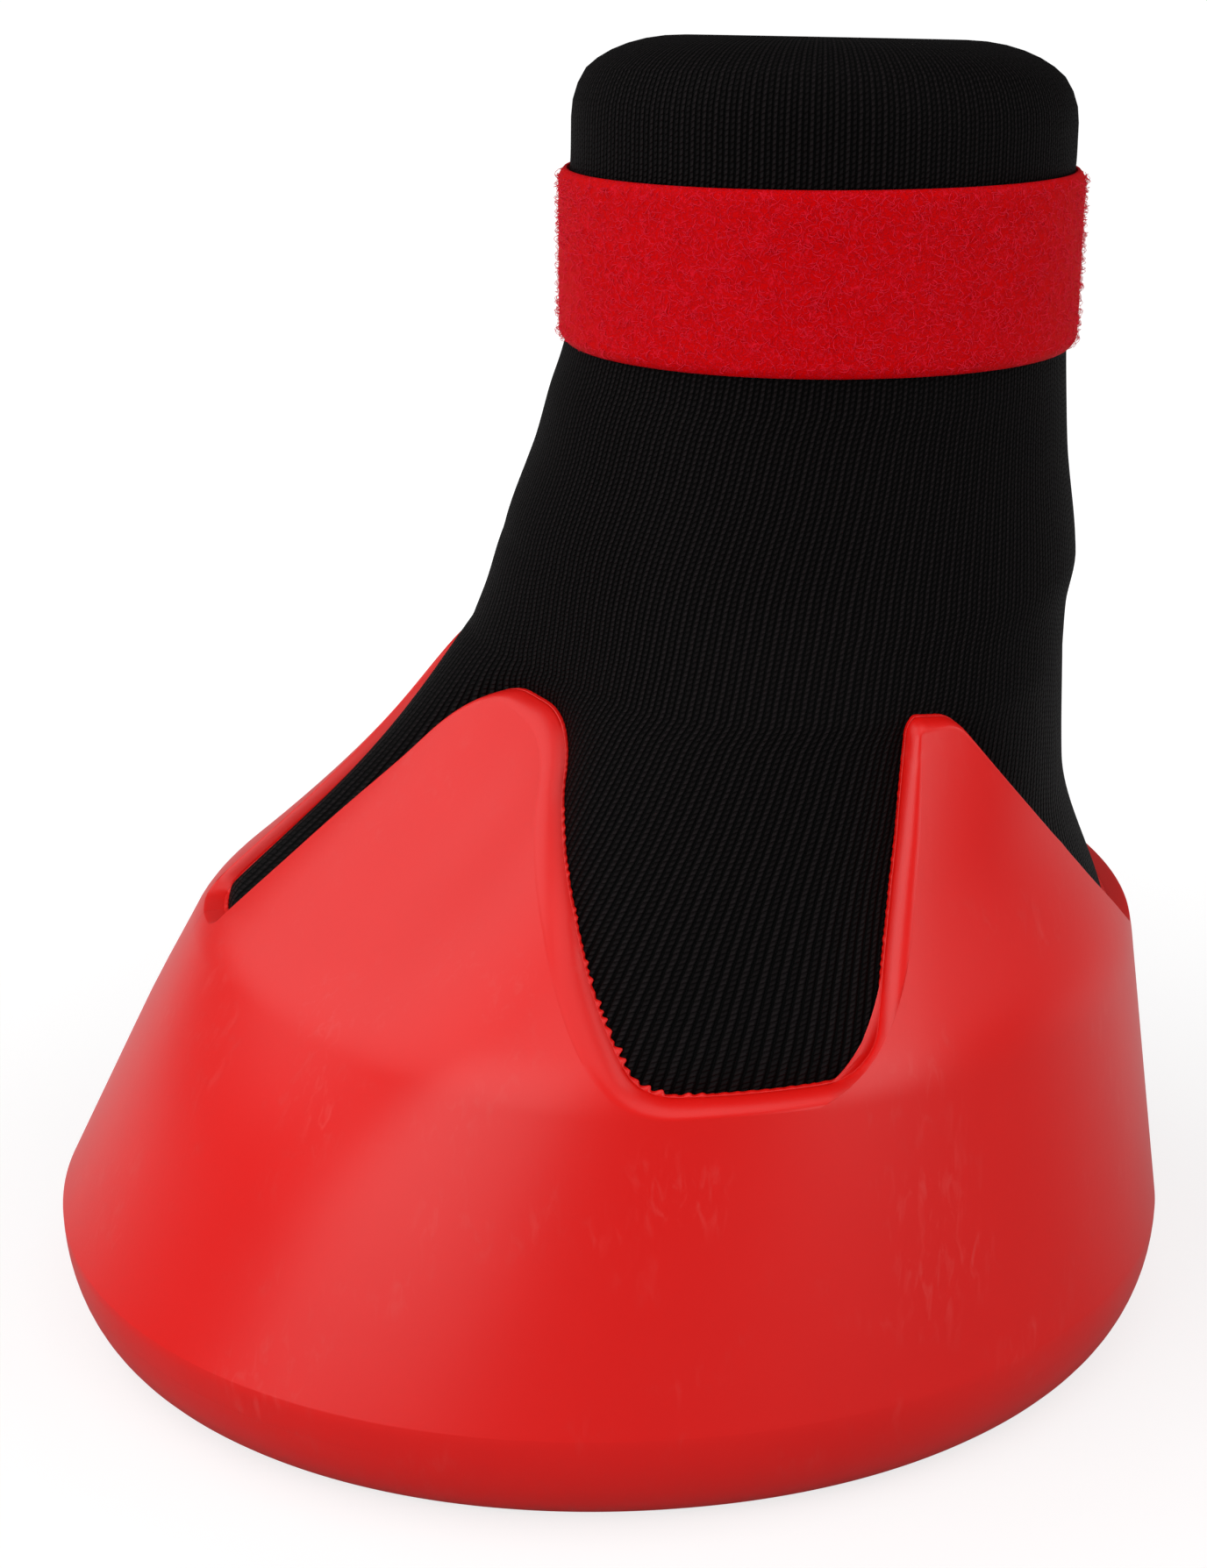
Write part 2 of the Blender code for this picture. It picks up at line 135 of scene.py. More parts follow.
def mixed(tree, share, first, second):
    """The colour that lies a share of the way from the first colour to the second."""
    first, second = [linear_colour(colour) if isinstance(colour, str) else colour
                     for colour in (first, second)]
    node = add_node(tree, "ShaderNodeMix", {MIX_SHARE: share, FIRST_COLOUR: first,
                                            SECOND_COLOUR: second}, data_type="RGBA")
    return node.outputs[COLOUR_RESULT]


def remapped(tree, value, before=(0, 1), after=(0, 1), curve="LINEAR"):
    """A value between two bounds, carried over to two others and held there."""
    node = add_node(tree, "ShaderNodeMapRange",
                    {"Value": value, "From Min": before[0], "From Max": before[1],
                     "To Min": after[0], "To Max": after[1]}, interpolation_type=curve)
    return node.outputs["Result"]


def object_place(tree):
    """A point's place in its own object, which at rest is its place in the frame too."""
    return add_node(tree, "ShaderNodeTexCoord").outputs["Object"]


def math_node(tree, operation, *values):
    """The result of one sum."""
    return add_node(tree, "ShaderNodeMath", dict(enumerate(values)), operation=operation).outputs[0]


def noise(tree, place, scale, detail, **settings):
    """A noise texture at a place; settings are its other sockets."""
    return add_node(tree, "ShaderNodeTexNoise",
                    {"Vector": place, "Scale": scale, "Detail": detail, **settings})


def bumped(tree, height, distance, **settings):
    """The normal of a surface that a pattern raises by up to a distance."""
    node = add_node(tree, "ShaderNodeBump", {"Height": height, "Distance": distance, **settings})
    return node.outputs["Normal"]


def new_material(name):
    """A material with its node tree and its Principled shader."""
    material = bpy.data.materials.new(name)
    material.use_nodes = True
    tree = material.node_tree
    return material, tree, tree.nodes["Principled BSDF"]


def cover(piece, material):
    """Give a piece one material and no other."""
    piece.data.materials.clear()
    piece.data.materials.append(material)


# %% [markdown]
# ## Studio
#
# The photograph was lit by large soft lights and cut out on white. Five softboxes light the boot,
# and the room's own light stays low, because a room that is bright all round would put a grey film
# on the red rubber. What the camera sees behind the boot is white by the Light Path node, which
# lights nothing.

# %% Floor
FLOOR_SIZE = 6.0
GLOW_SHARE_SEEN = 0.5
select_only()
bpy.ops.mesh.primitive_plane_add(size=FLOOR_SIZE, location=(0, 0, 0))
floor = bpy.context.object
floor.name = "studio_floor"
material, tree, shader = new_material("white_card")
seen = add_node(tree, "ShaderNodeLightPath").outputs["Is Camera Ray"]
place = object_place(tree)
# The studio is dark on the camera's side: that half of the card is painted darker for all rays
# but the camera's, a painted shade, so it throws little light back
ahead = add_node(tree, "ShaderNodeVectorMath", {0: place, 1: to_camera}, operation="DOT_PRODUCT")
front = remapped(tree, ahead.outputs["Value"], before=(-0.08, 0.04))
painted_shade_bounce = mixed(tree, front, "C8C8C8", "989898")
set_sockets(shader, {"Base Color": mixed(tree, seen, painted_shade_bounce, "C8C8C8"), "Roughness": 0.9})
far_out = add_node(tree, "ShaderNodeVectorMath", {0: place}, operation="LENGTH")
glow_strength = remapped(tree, far_out.outputs["Value"], before=(0.10, 0.40), after=(1.5, 2.0))
glow = add_node(tree, "ShaderNodeEmission", {"Color": linear_colour("FFFFFF"),
                                             "Strength": glow_strength})
# Behind the boot the card glows though it is no lamp, a painted pool of light, and shows so where
# the boot's far edges mirror it
painted_glow_behind = remapped(tree, front, after=(0.15, 0.0))
share = add_node(tree, "ShaderNodeMix", {MIX_SHARE: seen, FIRST_NUMBER: painted_glow_behind,
                                         SECOND_NUMBER: GLOW_SHARE_SEEN}).outputs[NUMBER_RESULT]
mix = add_node(tree, "ShaderNodeMixShader", {0: share, 1: shader.outputs[0], 2: glow.outputs[0]})
set_sockets(tree.nodes["Material Output"], {"Surface": mix.outputs[0]})
floor.data.materials.append(material)

# %% World
world = bpy.data.worlds.new("studio_room")
bpy.context.scene.world = world
world.use_nodes = True
tree = world.node_tree
seen = add_node(tree, "ShaderNodeLightPath").outputs["Is Camera Ray"]
set_sockets(tree.nodes["Background"], {"Color": linear_colour("FFFFFF"),
                                       "Strength": remapped(tree, seen, after=(0.12, 1.0))})


# %% Softboxes
LIT_MIDDLE = Vector((0, 0, 80 * MM))


def softbox(name, azimuth, elevation, distance, size, glow):
    """A square area light that faces the boot's middle; glow is how bright its face looks."""
    turn, lift = math.radians(azimuth), math.radians(elevation)
    way = Vector((math.sin(turn) * math.cos(lift), -math.cos(turn) * math.cos(lift), math.sin(lift)))
    bpy.ops.object.light_add(type="AREA", location=LIT_MIDDLE + way * distance)
    light = bpy.context.object
    light.name = name
    light.rotation_euler = (-way).to_track_quat("-Z", "Y").to_euler()
    light.data.size = size
    light.data.energy = 4 * glow * size ** 2


softbox("key_softbox", azimuth=38, elevation=16, distance=0.50, size=0.42, glow=1.80)
softbox("toe_softbox", azimuth=-20, elevation=38, distance=0.60, size=0.52, glow=1.06)
softbox("top_softbox", azimuth=85, elevation=70, distance=0.90, size=0.90, glow=0.92)
softbox("strip_softbox", azimuth=122, elevation=6, distance=0.44, size=0.22, glow=2.1)
softbox("rear_softbox", azimuth=168, elevation=30, distance=1.0, size=0.70, glow=1.1)
bpy.context.scene.view_settings.view_transform = "Standard"

# %% [markdown]
# ## The boot's outline
#
# Seen from above, the boot is an egg with its blunt end at the toe. Every piece follows that
# outline, larger or smaller, so one function gives a point on it: a superellipse, whose power
# above 2 makes it a little squarer than an ellipse. How wide and how long it is at each height
# comes from a few stations, joined by smooth curves. These are the frame's own sizes, which were
# worked out with the help of least-squares fits to the photograph.

# %% Outline of the boot
BELLY_SHARE = 0.50
TOE_FULLNESS = 2.06
HEEL_FULLNESS = 2.02
# Stations: height, half width, toe and heel
GIRTH = (0.0155, 0.0840, -0.0881, 0.0881)
CREASE = (0.0640, 0.0780, -0.0638, 0.0808)
PETAL_BEND = (0.0900, 0.0650, -0.0357, 0.0720)
PETAL_TIP = (0.1070, 0.0575, -0.0215, 0.0714)
# The front petals are pressed flatter than the egg, between two heights
FLAT_SHARE = 0.12
FLAT_BOTTOM = 40.0 * MM
FLAT_TOP = 136.0 * MM
FLATTEST_TURN = math.radians(31)


def flattening(turns, heights):
    """How far the front petals are pressed in, as a share of the outline's size."""
    rise_share = np.clip((heights - FLAT_BOTTOM) / (FLAT_TOP - FLAT_BOTTOM), 0, 1)
    turn_share = np.clip(turns / FLATTEST_TURN, 0, 2) / 2
    return FLAT_SHARE * (np.sin(math.pi * rise_share) * np.sin(math.pi * turn_share)) ** 2


def egg_points(turns, heights, sizes):
    """Points on the outline at turns from the toe; sizes are half width, toe and heel."""
    half_width, toe, heel = sizes[..., 0], sizes[..., 1], sizes[..., 2]
    belly = toe + (heel - toe) * BELLY_SHARE
    along, across = np.cos(turns), np.sin(turns)
    at_toe = along >= 0
    power = 2 / np.where(at_toe, TOE_FULLNESS, HEEL_FULLNESS)
    reach = np.where(at_toe, toe - belly, heel - belly)
    full = 1 - flattening(turns, heights)
    x = np.sign(across) * half_width * np.abs(across) ** power * full
    y = belly + reach * np.abs(along) ** power * full
    return np.stack([x, y, heights + np.zeros_like(x)], axis=-1)


def sizes_through(stations, heights):
    """Half width, toe and heel at heights, on smooth curves through the stations."""
    stations = np.array(stations)
    levels, sizes = stations[:, 0], stations[:, 1:]
    span = np.clip(np.searchsorted(levels, heights) - 1, 0, len(levels) - 2)
    rise = (levels[span + 1] - levels[span])[..., None]
    share = (heights - levels[span])[..., None] / rise
    slopes = np.diff(sizes, axis=0) / np.diff(levels)[:, None]
    before = np.vstack([slopes[:1], slopes])
    after = np.vstack([slopes, slopes[-1:]])
    agree = before * after > 0
    knots = np.where(agree, 2 * before * after / np.where(agree, before + after, 1.0), 0.0)
    curve = sizes[span] + (sizes[span + 1] - sizes[span]) * share * share * (3 - 2 * share)
    bend = knots[span] * (1 - share) - knots[span + 1] * share
    return curve + rise * share * (1 - share) * bend


CREASE_SOFTNESS = 3.0 * MM
CREASE_SAMPLES = 7


def sharp_wall_sizes(heights):
    """The tub's outer wall: straight up to the crease, then leaning in along the petals."""
    straight = sizes_through((GIRTH, CREASE), np.maximum(heights, GIRTH[0]))
    leaning = sizes_through((CREASE, PETAL_BEND, PETAL_TIP), np.maximum(heights, CREASE[0]))
    return np.where(heights[..., None] > CREASE[0], leaning, straight)


def wall_sizes(heights):
    """The same wall with its crease rounded, as the mean over a few millimetres of height."""
    heights = np.asarray(heights, float)
    near_crease = np.clip(1 - np.abs(heights - CREASE[0]) / (2 * CREASE_SOFTNESS), 0, 1)
    softened = np.minimum(2 * near_crease, 1)
    shifts = np.linspace(-1, 1, CREASE_SAMPLES) * CREASE_SOFTNESS
    return sum(sharp_wall_sizes(heights + shift * softened) for shift in shifts) / CREASE_SAMPLES


def drawn_in(sizes, amount):
    """Outline sizes drawn in all round by an amount."""
    amount = np.asarray(amount, float)
    return sizes + np.stack([-amount, amount, -amount], axis=-1)


def all_round(sizes, turns):
    """The same outline sizes once for each turn."""
    return np.asarray(sizes) + np.zeros(np.shape(turns) + (3,))


def middle_of(sizes):
    """An outline drawn in to the point midway between its toe and its heel."""
    return np.array((0, (sizes[1] + sizes[2]) / 2, (sizes[1] + sizes[2]) / 2))


WALL_HEIGHT = 50.0 * MM
WALL = 4.2 * MM
NOTCH_WALL = 3.0 * MM
TIP_WALL = 2.6 * MM


def wall_thickness(heights):
    """The wall measured level, thinner at the notches and thinnest at the petals' tips."""
    return np.interp(heights, (WALL_HEIGHT, CREASE[0], PETAL_TIP[0]), (WALL, NOTCH_WALL, TIP_WALL))


print("tub at the crease:", np.round(wall_sizes(CREASE[0]) / MM, 1), "mm")

# %% [markdown]
# ## The rim of the collar
#
# The petals are cut to one wavy line that runs round the collar. Unrolled flat, each half of it
# is a handful of corners joined by straight runs and round bends, so it is drawn flat and then
# rolled onto the wall. Each corner gives its turn as a share of the half turn, its height as a
# share of the petals' rise, and its radius as a share of that rise.
#
# Most of the corners are the output of another program: a least-squares fit moved them to points
# picked along the photograph's rim. Two at the toe side of the front petal and the height of the
# third were then set one by one.

# %% Rim line
NOTCH_HEIGHT = 63.8 * MM
COLLAR_BASE_HEIGHT = 60.0 * MM
PETAL_RISE = PETAL_TIP[0] - NOTCH_HEIGHT
RIM_ARC_STEP = math.radians(4)
RIM_CORNER_SHARES = (
    (0.0000, 0.000, 0.000), (0.0284, 0.009, 0.046),
    (0.0330, 0.440, 0.930), (0.0690, 0.925, 0.300), (0.2003, 0.890, 0.529),
    (0.2419, 0.702, 0.428), (0.3239, 0.443, 1.419),
    (0.4308, -0.036, 0.203), (0.5711, -0.015, 0.143),
    (0.5732, 0.526, 1.390), (0.5515, 1.017, 0.040), (0.6027, 1.001, 0.238), (0.7692, 0.489, 1.850),
    (0.8832, 0.000, 0.139), (1.0000, 0.000, 0.000))
RIM_LENGTH = math.pi * (PETAL_BEND[1] + (PETAL_BEND[3] - PETAL_BEND[2]) / 2) / 2


def rounded_line(corners, arc_step):
    """Points along straight runs with round corners, from (along, up, radius) corners."""
    points = [Vector(corners[0][:2])]
    for before, corner, after in zip(corners, corners[1:], corners[2:]):
        here = Vector(corner[:2])
        incoming = (here - Vector(before[:2])).normalized()
        outgoing = (Vector(after[:2]) - here).normalized()
        bend = incoming.angle_signed(outgoing)
        side = Vector((incoming.y, -incoming.x)) * math.copysign(corner[2], bend)
        centre = here - incoming * corner[2] * math.tan(abs(bend) / 2) + side
        steps = max(round(abs(bend) / arc_step), 1)
        for step in range(steps + 1):
            angle = -bend * step / steps
            points.append(centre + Vector((-side.x * math.cos(angle) + side.y * math.sin(angle),
                                           -side.x * math.sin(angle) - side.y * math.cos(angle))))
    points.append(Vector(corners[-1][:2]))
    return np.array(points)


def travel_along(points):
    """How far each point lies along a line from its first point."""
    return np.concatenate([[0], np.cumsum(np.linalg.norm(np.diff(points, axis=0), axis=1))])


def spaced(line, count):
    """The same line with its points evenly spaced."""
    travel = travel_along(line)
    places = np.linspace(0, travel[-1], count)
    return np.stack([np.interp(places, travel, line[:, axis]) for axis in (0, 1)], axis=1)


def rim_line(count):
    """Half the rim from toe to heel, unrolled, and the way from each point into the wall."""
    corners = [(turn * RIM_LENGTH, NOTCH_HEIGHT + rise * PETAL_RISE, radius * PETAL_RISE)
               for turn, rise, radius in RIM_CORNER_SHARES]
    line = spaced(rounded_line(corners, RIM_ARC_STEP), count)
    ahead = np.gradient(line, axis=0)
    inward = np.stack([ahead[:, 1], -ahead[:, 0]], axis=1)
    return line, inward / np.linalg.norm(inward, axis=1)[:, None]


RIM_POINTS = 400
rim, _ = rim_line(RIM_POINTS)
HALF_RIM = np.linalg.norm(np.diff(rim, axis=0), axis=1).sum()
print("half the rim is", round(HALF_RIM / MM), "mm long")


# %% [markdown]
# ## From a flat grid to a closed piece
#
# The tub, the sock, the pad and the tape are all skins that close on themselves. Each starts as
# Blender's grid primitive, a flat sheet of squares. Its columns become the way round the boot and
# its rows the way up and over the piece. The rows' places are worked out first, and the grid's
# points are then moved to them, as cloth is wrapped round a former. The seam and the poles are
# welded with merge by distance.

# %% Wrapped grid
WELD = 0.002 * MM


def wrapped_grid(name, places, stretch=None):
    """A grid primitive moved to places[row, column] and welded; stretch gives its UV map."""
    rows, columns = places.shape[:2]
    select_only()
    bpy.ops.mesh.primitive_grid_add(x_subdivisions=columns - 1, y_subdivisions=rows - 1, size=1)
    piece = bpy.context.object
    piece.name = name
    mesh = piece.data
    mesh.name = name
    flat = np.empty(len(mesh.vertices) * 3)
    mesh.vertices.foreach_get("co", flat)
    flat = flat.reshape(-1, 3)
    column = np.rint((flat[:, 0] + 0.5) * (columns - 1)).astype(int)
    row = np.rint((flat[:, 1] + 0.5) * (rows - 1)).astype(int)
    mesh.vertices.foreach_set("co", places[row, column].ravel())
    if stretch is not None:
        corner = np.empty(len(mesh.loops), int)
        mesh.loops.foreach_get("vertex_index", corner)
        mesh.uv_layers[0].uv.foreach_set("vector", stretch[row[corner], column[corner]].ravel())
    bpy.ops.object.mode_set(mode="EDIT")
    bpy.ops.mesh.select_all(action="SELECT")
    bpy.ops.mesh.remove_doubles(threshold=WELD)
    bpy.ops.mesh.normals_make_consistent(inside=False)
    bpy.ops.object.mode_set(mode="OBJECT")
    bpy.ops.object.shade_smooth()
    print(name, len(mesh.polygons), "faces")
    return piece


def mirrored(half):
    """A closed loop of columns from the +X half, which runs from toe to heel."""
    other = half[:, ::-1] * np.array((-1, 1, 1))
    return np.concatenate([half, other[:, 1:]], axis=1)


# %% [markdown]
# ## The tub
#
# The real tub is one injection moulding of thermoplastic polyurethane, a rubbery plastic. Its
# skin is followed here row by row: out across the sole, up the rounded foot, up the wall, over
# the rim and back down the inside. Near the rim the rows bend to follow the petals, and the rim's
# own edge rolls over to the knit: a fine step where two parts of the mould meet, then one long
# round.

# %% Rows of the tub's skin
HALF_COLUMNS = 330
GROUND_INSET = 8.2 * MM
SOLE_THICKNESS = 10.0 * MM
FLOOR_FILLET = 6.0 * MM
INNER_ROUND = 0.15 * MM
ROLL_TURN = math.radians(70)
ROLL_STEPS = 11
INNER_ROUND_TURNS = np.radians((60, 30, 0))
FOOT_STEPS = 17
FILLET_STEPS = 5
SOLE_ROW_SHARES = (0, 0.5, 0.9, 0.985)
WALL_ROW_HEIGHTS = np.array((15.65, 16.1, 17.5, 20, 25, 31, 37, 43, 49, 54, 58, 60)) * MM
COLLAR_ROW_SHARES = (0.03, 0.07, 0.12, 0.18, 0.25, 0.33, 0.42, 0.52, 0.62, 0.72, 0.82, 0.91, 0.97,
                     0.993)
INNER_COLLAR_SHARES = (0.85, 0.6, 0.35, 0.15, 0)
INNER_WALL_HEIGHTS = np.array((50, 35, 22)) * MM
# Share of the half rim, how widely the rim rolls over there and the height of its fine step, both
# in millimetres
ROLL_WIDTHS = (
    (0.00, 0.35, 0.00), (0.12, 0.45, 0.02), (0.17, 1.00, 0.09),
    (0.21, 2.20, 0.08), (0.26, 2.80, 0.02), (0.40, 2.80, 0.00),
    (0.44, 1.70, 0.00), (0.52, 1.70, 0.00), (0.56, 2.60, 0.00),
    (0.62, 2.60, 0.00), (0.66, 1.50, 0.00), (0.70, 0.50, 0.00),
    (1.00, 0.35, 0.00))

rim_edge, into_wall = rim_line(HALF_COLUMNS)
even_turns = np.linspace(0, math.pi, HALF_COLUMNS)
# The table's values run into each other as a mean over an odd number of columns
SMOOTHED_COLUMNS = 15
spare = SMOOTHED_COLUMNS // 2
column_shares = (np.linspace(-spare, HALF_COLUMNS + spare - 1, HALF_COLUMNS + 2 * spare)
                 / (HALF_COLUMNS - 1))
smoothing = np.ones(SMOOTHED_COLUMNS) / SMOOTHED_COLUMNS
roll_shares, roll_widths, roll_steps = np.array(ROLL_WIDTHS).T * ((1,), (MM,), (MM,))
roll, rim_step = [np.convolve(np.interp(column_shares, roll_shares, values), smoothing, "valid")
                  for values in (roll_widths, roll_steps)]


def level_row(height, sizes, turns=even_turns):
    """A row of the skin at one height."""
    return egg_points(turns, height, all_round(sizes, turns))


def collar_row(share, lowered, depth):
    """A row a share of the way up the collar, lowered below the rim, a depth into the wall."""
    edge = rim_edge + into_wall * np.reshape(lowered, (-1, 1))
    turns = even_turns + (math.pi * edge[:, 0] / RIM_LENGTH - even_turns) * share
    heights = COLLAR_BASE_HEIGHT + (edge[:, 1] - COLLAR_BASE_HEIGHT) * share
    return egg_points(turns, heights, drawn_in(wall_sizes(heights), depth))


def rim_rows():
    """Rows over the rim: a fine step, its long outer round and its small inner round."""
    thickness = wall_thickness(rim_edge[:, 1])
    rows = [collar_row(1, roll, 0), collar_row(1, roll - rim_step, rim_step)]
    for angle in np.linspace(0, ROLL_TURN, ROLL_STEPS)[1:]:
        down = 1 - math.sin(angle) / math.sin(ROLL_TURN)
        deep = (1 - math.cos(angle)) / (1 - math.cos(ROLL_TURN))
        rows.append(collar_row(1, (roll - rim_step) * down,
                               rim_step + (thickness - INNER_ROUND - rim_step) * deep))
    for angle in INNER_ROUND_TURNS:
        depth = thickness - INNER_ROUND * (1 - math.cos(angle))
        rows.append(collar_row(1, INNER_ROUND * (1 - math.sin(angle)), depth))
    return rows


def foot_sizes(angle):
    """Height and outline of the rounded foot, an elliptical quarter up to the crease."""
    height = GIRTH[0] * (1 - math.cos(angle))
    return height, drawn_in(np.array(GIRTH[1:]), GROUND_INSET * (1 - math.sin(angle)))


def tub_rows():
    """The whole skin of the tub, from the middle of the sole to the middle of the floor."""
    ground = foot_sizes(0)[1]
    middle = middle_of(ground)
    rows = [level_row(0, middle + (ground - middle) * share) for share in SOLE_ROW_SHARES]
    rows += [level_row(*foot_sizes(angle)) for angle in np.linspace(0, math.pi / 2, FOOT_STEPS)]
    rows += [level_row(height, wall_sizes(height)) for height in WALL_ROW_HEIGHTS]
    rows += [collar_row(share, roll, 0) for share in COLLAR_ROW_SHARES]
    rows += rim_rows()
    for share in INNER_COLLAR_SHARES:
        heights = COLLAR_BASE_HEIGHT + (rim_edge[:, 1] - COLLAR_BASE_HEIGHT) * share
        rows.append(collar_row(share, INNER_ROUND, wall_thickness(heights)))
    rows += [level_row(height, drawn_in(wall_sizes(height), WALL)) for height in INNER_WALL_HEIGHTS]
    for angle in np.linspace(math.pi / 2, 0, FILLET_STEPS):
        height = SOLE_THICKNESS + FLOOR_FILLET * (1 - math.cos(angle))
        inset = WALL + FLOOR_FILLET * (1 - math.sin(angle))
        rows.append(level_row(height, drawn_in(wall_sizes(height), inset)))
    rows.append(level_row(SOLE_THICKNESS, middle))
    return mirrored(np.array(rows))


tub = wrapped_grid("tub", tub_rows())

# %% [markdown]
# The tread is moulded across the sole. Its grooves are cut with a Boolean, as they would be
# milled into the mould, from blocks that are added one for each groove, each at its own length,
# and joined.

# %% Tread grooves
GROOVE_COUNT = 14
GROOVE_WIDTH = 2.4 * MM
GROOVE_DEPTH = 1.6 * MM
GROOVE_PITCH = 10.5 * MM
TREAD_MARGIN = 7.0 * MM
CUT_OVERRUN = 2.0 * MM
SHARPEST_SMOOTHED = math.radians(40)


def tread_cutter():
    """Blocks across the sole, each shorter than the ground's outline there."""
    _, (half_width, toe, heel) = foot_sizes(0)
    middle, half_length = (toe + heel) / 2, (heel - toe) / 2
    blocks = []
    for number in range(GROOVE_COUNT):
        y = middle + (number - (GROOVE_COUNT - 1) / 2) * GROOVE_PITCH
        reach = half_width * math.sqrt(1 - ((y - middle) / half_length) ** 2) - TREAD_MARGIN
        select_only()
        bpy.ops.mesh.primitive_cube_add(size=1, location=(0, y, (GROOVE_DEPTH - CUT_OVERRUN) / 2),
                                        scale=(2 * reach, GROOVE_WIDTH, GROOVE_DEPTH + CUT_OVERRUN))
        blocks.append(bpy.context.object)
    select_only(*blocks)
    bpy.ops.object.join()
    return bpy.context.object


cutter = tread_cutter()
cut = tub.modifiers.new("tread", "BOOLEAN")
cut.operation = "DIFFERENCE"
cut.solver = "EXACT"
cut.object = cutter
select_only(tub)
bpy.ops.object.modifier_apply(modifier="tread")
bpy.data.objects.remove(cutter, do_unlink=True)
bpy.ops.object.shade_smooth_by_angle(angle=SHARPEST_SMOOTHED)
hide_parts("boot_shell")
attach(tub, "boot")
print("tub:", len(tub.data.polygons), "faces after the tread")

# %% [markdown]
# ## The sock
#
# The sock is one knitted tube. Its columns of stitches, which knitters call wales, run down the
# leg and fan out over the hoof, and each row of stitches is a course. It lies against the tub's
# inside, but between the petals nothing holds it back and it swells outwards. How far a point of
# the sock lies from the rim decides how much it swells.

# %% Shape of the sock
SOCK_SIDE_GAP = 0.7 * MM
KNIT = 2.2 * MM
SEAT_GAP = 0.3 * MM
SOCK_HEIGHT = 192.0 * MM
CUFF_ROUND = 9.8 * MM
CUFF_REACH = 16.5 * MM
# How far the knit swells out at turns from the toe, in degrees: most there, little at the heel
SWELL_TURNS = (0, 30, 70, 110, 140, 180)
SWELL_SIZES = np.array((3.0, 2.9, 1.2, 1.0, 0.4, 0.2)) * MM
SWELL_TOP = 121 * MM
SWELL_FADE = 14 * MM
SWELL_RISE = 3.0 * MM
RIM_TEST_POINTS = 240
# Stations above the petals: height, half width, toe and heel. The strap draws the leg in a little
LEG_STATIONS = (
    (0.1130, 0.0498, -0.0170, 0.0690), (0.1195, 0.0454, -0.0163, 0.0708),
    (0.1350, 0.0390, -0.0109, 0.0692), (0.1435, 0.0362, -0.0087, 0.0688),
    (0.1495, 0.0352, -0.0068, 0.0685), (0.1545, 0.0348, -0.0057, 0.0683),
    (0.1740, 0.0348, -0.0057, 0.0683), (0.1790, 0.0350, -0.0054, 0.0685),
    (0.1920, 0.0350, -0.0052, 0.0684))


def sock_sizes(heights):
    """The sock's outline: against the tub's inside up to the tips, then drawn in to the leg."""
    heights = np.asarray(heights, float)
    tip = drawn_in(wall_sizes(PETAL_TIP[0]), TIP_WALL + SOCK_SIDE_GAP)
    stations = ((PETAL_TIP[0], *tip),) + LEG_STATIONS
    leg = sizes_through(stations, np.maximum(heights, PETAL_TIP[0]))
    foot = drawn_in(wall_sizes(heights), wall_thickness(heights) + SOCK_SIDE_GAP)
    return np.where(heights[..., None] > PETAL_TIP[0], leg, foot)


def from_toe(turns):
    """Turns as angles from the toe, alike on both sides."""
    return np.abs((turns + math.pi) % (2 * math.pi) - math.pi)


def rim_distance(turns, heights):
    """How far points lie outside the petals, unrolled flat; 0 behind a petal."""
    line = rim_line(RIM_TEST_POINTS)[0]
    points = np.stack([from_toe(turns) / math.pi * RIM_LENGTH, heights], axis=-1)
    nearest = np.full(points.shape[:-1], np.inf)
    inside = np.zeros(points.shape[:-1], bool)
    for start, end in zip(line, line[1:]):
        run, off = end - start, points - start
        share = np.clip((off @ run) / (run @ run), 0, 1)
        nearest = np.minimum(nearest, np.linalg.norm(off - share[..., None] * run, axis=-1))
        crosses = (start[0] <= points[..., 0]) != (end[0] <= points[..., 0])
        rim_height = start[1] + off[..., 0] * run[1] / (run[0] or 1)
        inside ^= crosses & (rim_height > points[..., 1])
    return np.where(inside, 0.0, nearest)


def swell(turns, heights):
    """How far the knit stands out between the petals."""
    most = np.interp(np.degrees(from_toe(turns)), SWELL_TURNS, SWELL_SIZES)
    fade = np.clip((SWELL_TOP - heights) / SWELL_FADE, 0, 1)
    return most * fade * (1 - np.exp(-rim_distance(turns, heights) / SWELL_RISE))


# %% [markdown]
# An empty sock never stands quite straight. Its leg leans a little to one side and back, so the
# strap and the cuff tilt with it. One function tilts everything that the leg carries.

# %% Lean of the leg
LEAN_HEIGHTS = (0.132, 0.150, 0.178, 0.187)
LEAN_DROPS = (0.0, -0.0013, -0.0016, 0.0017)
SIDE_TILTS = (0.0, 0.024, 0.045, 0.088)
BACK_TILTS = (0.0, -0.008, -0.008, -0.034)
LEG_MIDDLE = 31.1 * MM


def leaned(places):
    """Places moved up and down by the leg's lean."""
    drop, side_tilt, back_tilt = [np.interp(places[..., 2], LEAN_HEIGHTS, values)
                                  for values in (LEAN_DROPS, SIDE_TILTS, BACK_TILTS)]
    moved = places.copy()
    moved[..., 2] += drop + side_tilt * places[..., 0] + back_tilt * (places[..., 1] - LEG_MIDDLE)
    return moved


# %% [markdown]
# The wales hardly lean on the leg, lean back by about ten degrees round the ankle and fan out
# below. The UV map counts wales across and courses along, so that one stitch of the pattern is
# one square of the map wherever the sock is wide or narrow.

